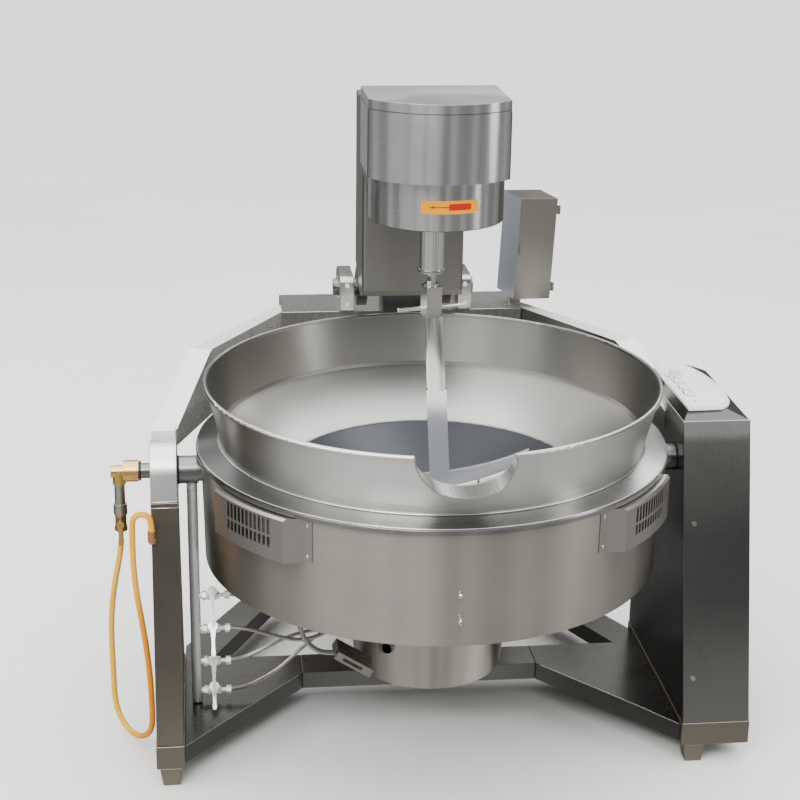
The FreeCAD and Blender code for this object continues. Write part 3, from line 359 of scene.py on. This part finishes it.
# painted light and shade: frame and cabinet lighter or darker in bands by height; frame faces to the right, cabinet
# faces to the left and base tops painted darker; base painted darker towards the right
M["frame"] = steel("frame_steel_z", (0.29, 0.262, 0.215), 0.34, "z", 1.0, 0.6, 0.05, 0.06, 0.03, painted_side_light=((1.0, 0.0, 0.0), 0.6), grad=((0.110, 1.0), (0.118, 1.8), (0.30, 1.25), (0.45, 1.0)))
M["base"] = steel("base_steel_x", (0.21, 0.206, 0.195), 0.26, "x", 1.0, 0.5, 0.06, 0.08, 0.06, painted_side_light=((0.0, 0.0, 1.0), 0.85), painted_light_across=((-0.70, 0.70), (-0.35, 0.75), (-0.20, 1.0), (0.20, 1.0), (0.42, 0.42), (0.70, 0.42)))
M["cabinet"] = steel("cabinet_steel_z", (0.25, 0.248, 0.238), 0.30, "z", 1.0, 0.6, 0.04, 0.06, 0.02, painted_side_light=((-1.0, 0.0, 0.0), 0.30), grad=((0.10, 1.5), (0.26, 1.35), (0.42, 0.85), (0.58, 0.90), (0.70, 1.35), (0.815, 1.9), (0.834, 3.9), (0.855, 5.0)))
M["console"] = steel("console_steel", (0.165, 0.165, 0.162), 0.24, "y", 1.0, 0.5, 0.03, 0.05, 0.02)
M["rear"] = steel("rear_steel_z", (0.62, 0.615, 0.59), 0.28, "z", 1.0, 0.5, 0.05, 0.06, 0.03)
# painted light: one side of the wings and their tops, and the box's left side, are painted lighter, the box's side also
# bluish
M["wing"] = steel("wing_steel", (0.58, 0.575, 0.56), 0.28, "y", 1.0, 0.5, 0.04, 0.05, 0.02, painted_lit_side=(((0.90, -0.43, 0.0), (0.62, 0.61, 0.59), 0.40), ((0.0, 0.0, 1.0), (0.93, 0.93, 0.92), 0.25)))
M["box"] = steel("box_steel_z", (0.40, 0.388, 0.345), 0.30, "z", 1.0, 0.5, 0.03, 0.05, 0.0, painted_lit_side=(((-0.976, -0.218, 0.0), (0.42, 0.445, 0.49), 0.35),))
M["bright"] = steel("bright_steel", (0.80, 0.795, 0.78), 0.17, "z", 1.5, 0.3, 0.03, 0.03, 0.01, bump=0.02)
M["turned"] = steel("turned_steel", (0.22, 0.218, 0.214), 0.24, "x", 1.5, 0.6, 0.03, 0.04, 0.03, bump=0.02)
M["cap"] = steel("cap_steel", (0.80, 0.795, 0.785), 0.30, "x", 1.0, 0.6, 0.03, 0.04, 0.0)
M["pipe"] = paint("pipe_steel", (0.74, 0.74, 0.73), 0.30, 0.0, orange=0.01, tone=0.03, metallic=0.7, coat=0.3)
M["inlet"] = steel("inlet_valve_metal", (0.52, 0.51, 0.49), 0.28, "x", 1.0, 0.2, 0.06, 0.04, 0.10, bump=0.03, lower=(0.632, (0.62, 0.40, 0.13)))
M["brass"] = steel("brass", (0.80, 0.53, 0.20), 0.28, "x", 1.0, 0.2, 0.08, 0.05, 0.15, grime_col=(0.34, 0.20, 0.07), bump=0.03)
M["copper"] = steel("copper", (0.90, 0.44, 0.21), 0.30, "z", 1.0, 0.1, 0.10, 0.05, 0.25, grime_col=(0.30, 0.12, 0.05), bump=0.05)
M["tube"] = steel("tube_steel", (0.44, 0.42, 0.38), 0.28, "x", 1.0, 0.2, 0.06, 0.05, 0.10, bump=0.03)
M["chrome"] = paint("valve_nickel", (0.93, 0.93, 0.92), 0.26, 0.0, orange=0.01, tone=0.02, metallic=0.45, coat=0.5)
M["iron"] = paint("cast_iron", (0.13, 0.135, 0.14), 0.55, 0.3, (0.32, 0.31, 0.30), 0.25, 0.10, 0.2)
M["motor"] = paint("motor_paint", (0.10, 0.16, 0.25), 0.42, 0.5, (0.45, 0.44, 0.42), 0.12, 0.06)
M["white"] = paint("panel_white", (0.97, 0.97, 0.96), 0.30, 0.0, (0.6, 0.6, 0.58), 0.03, 0.01, coat=0.3)
M["button"] = paint("button_plastic", (0.90, 0.90, 0.89), 0.28, 0.0, orange=0.01, tone=0.02, coat=0.4)
M["green"] = paint("button_plastic_b", (0.84, 0.88, 0.84), 0.28, 0.0, orange=0.01, tone=0.02, coat=0.4)
M["ptfe"] = paint("scraper_plastic", (0.88, 0.87, 0.82), 0.45, 0.0, orange=0.03, tone=0.05, speck=0.12)
M["black"] = paint("seal_rubber", (0.018, 0.018, 0.018), 0.55, 0.0, orange=0.1, tone=0.1)
M["groove"] = paint("groove_grey", (0.42, 0.42, 0.42), 0.5, 0.0, orange=0.05, tone=0.05)
M["tag"] = paint("tag_orange", (0.78, 0.33, 0.0), 0.50, 0.0, orange=0.02, tone=0.06, spec=0.2)
M["mark"] = paint("tag_red", (0.50, 0.012, 0.0), 0.50, 0.0, orange=0.02, tone=0.06, spec=0.2)


def hose_mat():
    k = Mat("hose_yellow")
    x, y, z = k.split(k.obj)
    n_l = k.noise(k.obj, 9.0, 4.0, 0.6)
    n_s = k.noise(k.obj, 70.0, 4.0, 0.65)
    n_f = k.noise(k.vmath("MULTIPLY", k.obj, (700, 700, 60)), 1.0, 2.0, 0.5)
    # the rising leg is a deeper orange than the hanging one
    side = k.math("MULTIPLY", k.maprange(y, -0.150, -0.212, 0.0, 1.0, True), k.maprange(z, 0.50, 0.36, 0.25, 1.0, True))
    base = k.mix(k.math("ADD", k.math("MULTIPLY", side, 0.85), k.maprange(n_l, 0.35, 0.65, -0.08, 0.10)), (0.76, 0.42, 0.035), (0.62, 0.18, 0.0))
    base = k.mix(k.maprange(n_s, 0.60, 0.75, 0.0, 0.35), base, (0.30, 0.13, 0.03))
    rr = k.maprange(n_s, 0.3, 0.7, 0.34, 0.50)
    k.set(color=base, rough=rr, spec=0.25, normal=k.bump(n_f, 0.10, 0.0005, k.bump(n_s, 0.05, 0.001)))
    return k.m


M["hose"] = hose_mat()

FINISH = {
    "base_crossbar": "base", "left_base_leg": "base", "right_base_leg": "base", "side_rails": "base", "plinths": "frame", "feet": "frame",
    "left_post": "frame", "bearing_cap": "cap", "shaft_bearings": "turned", "hose_fitting": "copper", "cabinet_shell": "cabinet", "cabinet_cover": "cabinet",
    "pivot_ears": "rear", "frame_screws": "bright", "worm_gearboxes": "iron", "drive_motors": "motor", "console": "console", "control_panel": "white",
    "tilt_up_button": "button", "tilt_down_button": "button", "stir_button": "green", "speed_knob": "button", "rear_box": "rear", "wing_beams": "wing",
    "control_box": "box", "box_door": "box", "box_post": "rear", "union_elbow": "brass", "inlet_valve": "inlet", "inlet_lever": "brass", "gas_hose": "hose",
    "wok_bowl": "bowl", "pour_lip": "lip", "shoulder_ring": "shoulder", "skirt": "skirt", "burner_chamber": "chamber", "burner_ring": "iron", "vent_hoods": "vent",
    "skirt_fittings": "bright", "trunnions": "turned", "gas_manifold": "pipe", "valve_bodies": "chrome", "valve_lever_1": "chrome", "valve_lever_2": "chrome",
    "valve_lever_3": "chrome", "valve_lever_4": "chrome", "gas_tubes": "tube", "arm_column": "column", "pivot_shaft": "turned", "head_hood": "head",
    "gear_drum": "head", "ring_gear": "iron", "stir_motor": "motor", "planet_carrier": "turned", "planet_gear": "iron", "stir_spindle": "bright",
    "stir_arm": "bright", "stir_blade": "bright", "scraper_pads": "ptfe", "release_pin": "bright"}


def dress(node, mat):
    o = nodes[node]
    for i in range(len(o.data.materials)):
        o.data.materials[i] = mat
    if not o.data.materials:
        o.data.materials.append(mat)


for n, m in FINISH.items():
    dress(n, M[m])


def soften(node, width, segs=2, angle=32):
    """rounds the sharp edges of a flat-sided CAD node"""
    o = nodes[node]
    w = o.modifiers.new("weld", "WELD")
    w.merge_threshold = 1e-5
    b = o.modifiers.new("edge", "BEVEL")
    b.width = width
    b.segments = segs
    b.limit_method = "ANGLE"
    b.angle_limit = math.radians(angle)
    b.use_clamp_overlap = True
    b.miter_outer = "MITER_ARC"
    wn = o.modifiers.new("normals", "WEIGHTED_NORMAL")
    wn.keep_sharp = False
    wn.weight = 60


for n, w in {"left_post": 0.0035, "cabinet_shell": 0.003, "console": 0.003, "rear_box": 0.004, "wing_beams": 0.003, "arm_column": 0.003,
             "plinths": 0.002, "base_crossbar": 0.002, "left_base_leg": 0.002, "right_base_leg": 0.002, "side_rails": 0.002, "feet": 0.0025,
             "control_box": 0.0008, "box_door": 0.0008, "box_post": 0.0015, "pivot_ears": 0.002, "control_panel": 0.003, "worm_gearboxes": 0.004,
             "scraper_pads": 0.002, "stir_blade": 0.001, "bearing_cap": 0.002, "head_hood": 0.0022, "gear_drum": 0.0022}.items():
    soften(n, w)


# ------------------------------------------------------------------ new pieces
def new_obj(name, data, mat, body, smooth=True):
    ob = bpy.data.objects.new(name, data)
    bpy.context.scene.collection.objects.link(ob)
    data.materials.append(mat)
    if smooth and hasattr(data, "polygons"):
        for p in data.polygons:
            p.use_smooth = True
    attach(ob, body)
    return ob


def from_bm(name, bm, mat, body, smooth=True):
    me = bpy.data.meshes.new(name)
    bm.normal_update()
    bm.to_mesh(me)
    bm.free()
    return new_obj(name, me, mat, body, smooth)


def nurbs(name, pts, radius, mat, body, res=10, bres=8, caps=True):
    cu = bpy.data.curves.new(name, "CURVE")
    cu.dimensions = "3D"
    sp = cu.splines.new("NURBS")
    sp.points.add(len(pts) - 1)
    for q, p in zip(sp.points, pts):
        q.co = (*P(*p), 1)
    sp.order_u = 3
    sp.use_endpoint_u = True
    sp.resolution_u = res
    cu.bevel_depth = radius
    cu.bevel_resolution = bres
    cu.use_fill_caps = caps
    ob = bpy.data.objects.new(name, cu)
    bpy.context.scene.collection.objects.link(ob)
    cu.materials.append(mat)
    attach(ob, body)
    return ob


# the gas hose
HOSE = [(-782, 0, 565.2), (-785, 0, 530), (-798, 4, 470), (-811, 9, 395), (-818, 13, 310), (-817, 14, 200),
        (-816, 14, 86), (-786, -24, 40), (-746, -76, 40), (-716, -114, 86), (-716, -116, 165), (-718, -117, 240), (-724, -117, 315),
        (-733, -115, 390), (-744, -112, 465), (-749, -110, 535), (-749.5, -110, 590), (-748.5, -112, 630), (-748, -112.5, 664.5),
        (-734.5, -113, 678), (-715.5, -113.5, 678), (-702, -114, 664.5), (-702, -114, 634)]
hose = nurbs("gas_hose_line", HOSE, 0.0075, M["hose"], "frame", 14, 8)
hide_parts("gas_hose")


def wire(name, pts, radius, mat, body, cyclic=False, bres=3):
    """a fine round line along straight segments"""
    cu = bpy.data.curves.new(name, "CURVE")
    cu.dimensions = "3D"
    sp = cu.splines.new("POLY")
    sp.points.add(len(pts) - 1)
    for q, p in zip(sp.points, pts):
        q.co = (*P(*p), 1)
    sp.use_cyclic_u = cyclic
    cu.bevel_depth = radius
    cu.bevel_resolution = bres
    cu.use_fill_caps = not cyclic
    ob = bpy.data.objects.new(name, cu)
    bpy.context.scene.collection.objects.link(ob)
    cu.materials.append(mat)
    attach(ob, body)
    return ob


def circle(r, z, a0=0.0, a1=360.0, n=160, cx=0.0, cy=0.0):
    full = abs(a1 - a0) >= 360
    k = n if full else n + 1
    return [(cx + r * math.cos(math.radians(a0 + (a1 - a0) * i / n)), cy + r * math.sin(math.radians(a0 + (a1 - a0) * i / n)), z) for i in range(k)]


def curved_plate(name, s0, s1, zlim, R, t, mat, body, n=40):
    """a thin plate bent round a vertical cylinder about the spindle axis; s is the arc length from the front"""
    bm = bmesh.new()
    rows = []
    for i in range(n + 1):
        q = s0 + (s1 - s0) * i / n
        lo, hi = zlim(q)
        a = q / R
        rows.append([bm.verts.new(P(rr * math.sin(a), -rr * math.cos(a), zz)) for rr, zz in ((R + t, lo), (R + t, hi), (R - 0.4, hi), (R - 0.4, lo))])
    for a, b in zip(rows, rows[1:]):
        for i in range(4):
            bm.faces.new((a[i], b[i], b[(i + 1) % 4], a[(i + 1) % 4]))
    bm.faces.new(rows[0])
    bm.faces.new(rows[-1][::-1])
    bmesh.ops.recalc_face_normals(bm, faces=bm.faces)
    return from_bm(name, bm, mat, body, False)


def rounded(s0, s1, z0, z1, rc):
    def f(q):
        e = min(q - s0, s1 - q)
        d = rc - math.sqrt(max(rc * rc - (rc - e) ** 2, 0.0)) if e < rc else 0.0
        d = min(d, (z1 - z0) / 2 - 0.05)
        return z0 + d, z1 - d
    return f


def dome(name, c, axis, r, h, mat, body, n=20, m=4):
    """a round screw head: axis points out of the surface"""
    a = Vector(axis).normalized()
    u = a.orthogonal().normalized()
    v = a.cross(u)
    bm = bmesh.new()
    rings = []
    for j in range(m + 1):
        ph = math.pi / 2 * j / m
        rr, hh = r * math.cos(ph), h * (0.35 + 0.65 * math.sin(ph))
        if j == m:
            break
        rings.append([bm.verts.new(P(*(Vector(c) + a * hh + (u * math.cos(2 * math.pi * i / n) + v * math.sin(2 * math.pi * i / n)) * rr))) for i in range(n)])
    base = [bm.verts.new(P(*(Vector(c) - a * 0.6 + (u * math.cos(2 * math.pi * i / n) + v * math.sin(2 * math.pi * i / n)) * r))) for i in range(n)]
    rings.insert(0, base)
    for p_, q_ in zip(rings, rings[1:]):
        for i in range(n):
            bm.faces.new((p_[i], p_[(i + 1) % n], q_[(i + 1) % n], q_[i]))
    bm.faces.new(rings[-1])
    bm.faces.new(base[::-1])
    bmesh.ops.recalc_face_normals(bm, faces=bm.faces)
    return from_bm(name, bm, mat, body, True)


# direction-of-turning tag on the drum
curved_plate("turning_tag", -57, 82, rounded(-57, 82, 1427.5, 1459.0, 7.0), 163.0, 0.7, M["tag"], "arm", 60)
curved_plate("turning_tag_bar", 8, 63, rounded(8, 63, 1436, 1451.5, 1.2), 163.7, 0.25, M["mark"], "arm", 24)
curved_plate("turning_tag_line", -32, 8.2, lambda q: (1442.6, 1445.0), 163.7, 0.25, M["mark"], "arm", 16)
curved_plate("turning_tag_head", -38, -27, lambda q: (1443.8 - 0.05 - 0.36 * (q + 38), 1443.8 + 0.05 + 0.36 * (q + 38)), 163.7, 0.25, M["mark"], "arm", 10)
# the hood's lid joint, the seal between hood and drum
hood_arc = [(218.35 * math.cos(math.radians(a)), 218.35 * math.sin(math.radians(a))) for a in [215.3 + (313.1 - 215.3) * i / 60 for i in range(61)]]
wire("hood_lid_joint", [(-178.3, 66, 1668)] + [(x, y, 1668) for x, y in hood_arc] + [(149.3, 66, 1668)], 0.0009, M["black"], "arm")
# a bright line along the hood's top edge, as a painted highlight
wire("hood_lid_edge", [(-176.2, 64, 1690 - 1.6)] + [(x * 0.9925, y * 0.9925, 1690 - 1.6) for x, y in hood_arc] + [(147.2, 64, 1690 - 1.6)], 0.0013, M["bright"], "arm")
wire("drum_joint", circle(163.2, 1506.2, 155, 385, 120), 0.0011, M["black"], "arm")
wire("drum_lower_edge", circle(162.2, 1386.0, 150, 390, 120), 0.0009, M["black"], "arm")
for tag, x_, a_ in (("left", -178.2, 215.3), ("right", 149.2, 313.1)):
    yy = 218 * math.sin(math.radians(a_))
    wire("hood_corner_" + tag, [(x_, yy + 0.5, 1509), (x_, yy + 0.5, 1664)], 0.0012, M["black"], "arm")
wire("spindle_seal", circle(35.1, 1238.0, 0, 360, 48, 0, 60), 0.0008, M["black"], "stirrer", True)
# thin metal lines along the edges of the base legs and of the cabinet's front, standing in for edge highlights: painted
# highlights
wire("leg_edge_right", [(330, 123.5, 98.2), (545, -125.2, 98.2), (627, -227, 98.2)], 0.0013, M["bright"], "frame")
wire("leg_edge_left", [(-330, 123.5, 98.2), (-545, -125.2, 98.2), (-633, -227, 98.2)], 0.0011, M["bright"], "frame")
wire("cabinet_edge_top", [(631, -67.6, 866.0), (802, -67.6, 866.0)], 0.0011, M["bright"], "frame")
wire("cabinet_edge_side", [(630.6, -69, 862.0), (630.6, -249.6, 116.0)], 0.0009, M["turned"], "frame")
# weld between pot wall and shoulder, and a bright line on the shoulder's edge as a painted highlight
wire("pot_weld", circle(534.2, 829.5), 0.0019, M["bright"], "wok", True)
wire("shoulder_edge", circle(586.8, 817.2), 0.0013, M["bright"], "wok", True)
# seal ring on the inlet nipple, joint lines under the bearing cap
for i, (x0, rr, w, mt) in enumerate(((-729.0, 23.0, 2.6, "black"), (-702.2, 25.4, 1.6, "black"))):
    wire("inlet_seal_%d" % (i + 1), [(x0, rr * math.cos(math.radians(a)), 749 + rr * math.sin(math.radians(a))) for a in range(0, 360, 8)], w / 1000, M[mt], "frame", True)
for i, (x0, rr) in enumerate(((-634.5, 33.0), (631.0, 30.0))):
    wire("trunnion_seal_%d" % (i + 1), [(x0, rr * math.cos(math.radians(a)), 749 + rr * math.sin(math.radians(a))) for a in range(0, 360, 8)], 0.0035, M["black"], "frame", True)
for i, (z, yf) in enumerate(((694.5, 78.2), (680.0, 81.9))):
    wire("cap_weld_%d" % (i + 1), [(-703.2, yf - 2, z), (-703.2, -yf - 0.2, z), (-636.8, -yf - 0.2, z), (-636.8, yf - 2, z)], 0.0012, M["bright"], "frame")
# the vent boxes' fixing flanges with their screws
for s_, tag in ((-1, "left"), (1, "right")):
    bm = bmesh.new()
    vs = []
    R0 = 579.2
    for k in range(7):
        xx = 352 - 3.5 * k
        for zz in (697, 797):
            rr = SKR = 572 + (zz - 524) * (578 - 572) / (803 - 524)
            for o in (-0.6, 1.4):
                y_ = -math.sqrt((rr + o) ** 2 - xx ** 2)
                vs.append(bm.verts.new(P(s_ * xx, y_, zz)))
    for k in range(6):
        a, b = vs[4 * k:4 * k + 4], vs[4 * k + 4:4 * k + 8]
        for i0, i1 in ((0, 1), (1, 3), (3, 2), (2, 0)):
            bm.faces.new((a[i0], a[i1], b[i1], b[i0]))
    bm.faces.new((vs[0], vs[1], vs[3], vs[2]))
    bm.faces.new((vs[24], vs[26], vs[27], vs[25]))
    bmesh.ops.recalc_face_normals(bm, faces=bm.faces)
    from_bm("vent_flange_" + tag, bm, M["vent"], "wok", False)
    for i, zz in enumerate((785, 709)):
        rr = 572 + (zz - 524) * (578 - 572) / (803 - 524) + 1.4
        xx = 342.0
        y_ = -math.sqrt(rr ** 2 - xx ** 2)
        dome("vent_screw_%s_%d" % (tag, i + 1), (s_ * xx, y_, zz), (s_ * xx, y_, 0), 4.2, 2.4, M["bright"], "wok")
# panel inset line and lamp
pan = [(644, 310), (649.5, -51.5), (732, -48), (746, -31), (755.5, 0), (759.5, 75), (758.6, 150), (742, 238), (711, 310)]
wire("panel_inset", [(x, y, 902.1) for x, y in pan], 0.0007, M["groove"], "frame", True)
dome("panel_lamp", (672, -14, 902.0), (0, 0, 1), 5.0, 2.0, M["groove"], "frame")


# ------------------------------------------------------------------ floor and light
def stage_floor():
    k = Mat("floor_pale")
    n = k.noise(k.obj, 0.8, 4.0, 0.6)
    n2 = k.noise(k.obj, 90.0, 3.0, 0.6)
    v = k.maprange(n, 0.3, 0.7, 0.86, 0.90)
    k.set(color=k.join(v, v, k.math("MULTIPLY", v, 0.99)), rough=0.75, normal=k.bump(n2, 0.05, 0.001))
    bm = bmesh.new()
    s = 45.0
    f = [bm.verts.new((x, y, 0.0)) for x, y in ((-s, -s), (s, -s), (s, s), (-s, s))]
    bm.faces.new(f)
    me = bpy.data.meshes.new("floor")
    bm.to_mesh(me)
    bm.free()
    ob = bpy.data.objects.new("floor", me)
    bpy.context.scene.collection.objects.link(ob)
    me.materials.append(k.m)
    ob.visible_glossy = False


stage_floor()


def area(name, loc, target, size, power, col=(1, 1, 1), size_y=None):
    li = bpy.data.lights.new(name, "AREA")
    li.energy = power
    li.color = col
    li.shape = "RECTANGLE"
    li.size = size
    li.size_y = size_y or size
    ob = bpy.data.objects.new(name, li)
    bpy.context.scene.collection.objects.link(ob)
    ob.location = loc
    d = Vector(target) - Vector(loc)
    ob.rotation_mode = "QUATERNION"
    ob.rotation_quaternion = d.to_track_quat("-Z", "Y")
    return ob


def world():
    """a workshop seen in the steel: light ahead of the machine, dark beside and behind it, with upright light and dark strips"""
    w = bpy.data.worlds.new("studio")
    bpy.context.scene.world = w
    w.use_nodes = True
    t = w.node_tree
    t.nodes.clear()
    out = t.nodes.new("ShaderNodeOutputWorld")
    bg = t.nodes.new("ShaderNodeBackground")
    tc = t.nodes.new("ShaderNodeTexCoord")
    sep = t.nodes.new("ShaderNodeSeparateXYZ")
    t.links.new(tc.outputs["Generated"], sep.inputs[0])

    def m(op, a, b=None, clamp=False):
        n = t.nodes.new("ShaderNodeMath")
        n.operation = op
        n.use_clamp = clamp
        for i, v in enumerate((a, b)):
            if v is None:
                continue
            if isinstance(v, bpy.types.NodeSocket):
                t.links.new(v, n.inputs[i])
            else:
                n.inputs[i].default_value = v
        return n.outputs[0]

    def rng(v, a, b, c, d):
        n = t.nodes.new("ShaderNodeMapRange")
        n.interpolation_type = "SMOOTHSTEP"
        t.links.new(v, n.inputs[0])
        for i, x in zip((1, 2, 3, 4), (a, b, c, d)):
            n.inputs[i].default_value = x
        return n.outputs[0]

    def lerp(f, a, b):
        return m("ADD", m("MULTIPLY", a, m("SUBTRACT", 1.0, f)), m("MULTIPLY", b, f))

    x, y, z = sep.outputs
    h = m("SQRT", m("ADD", m("ADD", m("MULTIPLY", x, x), m("MULTIPLY", y, y)), 1e-4))
    front = m("DIVIDE", m("MULTIPLY", y, -1.0), h)
    side = m("DIVIDE", x, h)
    cmb = t.nodes.new("ShaderNodeCombineXYZ")
    t.links.new(front, cmb.inputs[0])
    t.links.new(side, cmb.inputs[1])
    nz = t.nodes.new("ShaderNodeTexNoise")
    t.links.new(cmb.outputs[0], nz.inputs["Vector"])
    nz.inputs["Scale"].default_value = 3.1
    nz.inputs["Detail"].default_value = 1.0
    strips = rng(nz.outputs[0], 0.44, 0.56, 0.62, 1.22)
    lit = m("ADD", front, m("MULTIPLY", side, 0.14))
    floor_l = m("MULTIPLY", rng(lit, -0.78, 0.06, 0.085, 0.48), strips)
    floor_l = m("MULTIPLY", floor_l, rng(z, -0.78, -0.36, 1.7, 1.0))
    behind = rng(front, -0.84, -0.98, 0.0, 0.20)
    floor_l = m("ADD", floor_l, behind)
    wall_l = m("MULTIPLY", rng(lit, -0.6, 0.4, 0.11, 0.19), strips)
    ceil_l = rng(front, -0.9, 0.9, 0.46, 0.34)
    wall_l = m("ADD", wall_l, behind)
    lum = lerp(rng(z, -0.10, 0.02, 0.0, 1.0), floor_l, wall_l)
    lum = lerp(rng(z, 0.30, 0.60, 0.0, 1.0), lum, ceil_l)
    lum = lerp(rng(z, 0.46, 0.70, 0.0, 1.0), lum, 2.7)
    t.links.new(lum, bg.inputs[1])
    bg.inputs[0].default_value = (1.0, 0.995, 0.985, 1)
    t.links.new(bg.outputs[0], out.inputs[0])


world()
area("key_left", (-4.2, -2.6, 3.6), (0, 0, 0.9), 2.2, 35, (1.0, 0.99, 0.97))
area("top", (0.3, 0.4, 4.8), (0, 0, 0.8), 3.4, 55, (0.97, 0.985, 1.0))
area("front_top", (-1.5, -3.2, 3.3), (-0.3, 0, 0.8), 2.2, 80, (1.0, 1.0, 0.99), 1.0)
area("back_right", (2.2, 3.3, 3.0), (-0.4, 0.1, 0.8), 1.8, 22, (1.0, 1.0, 1.0), 1.0)
area("back_left", (-2.2, 3.3, 3.0), (0.4, 0.1, 0.8), 1.8, 22, (1.0, 1.0, 1.0), 1.0)
area("fill_right", (4.4, -2.2, 2.4), (0, 0, 0.9), 0.9, 35, (1.0, 0.99, 0.97), 3.0)
sun = bpy.data.lights.new("soft_sun", "SUN")
sun.energy = 0.7
sun.angle = math.radians(60)
so = bpy.data.objects.new("soft_sun", sun)
bpy.context.scene.collection.objects.link(so)
so.rotation_euler = (math.radians(20), math.radians(-24), 0)
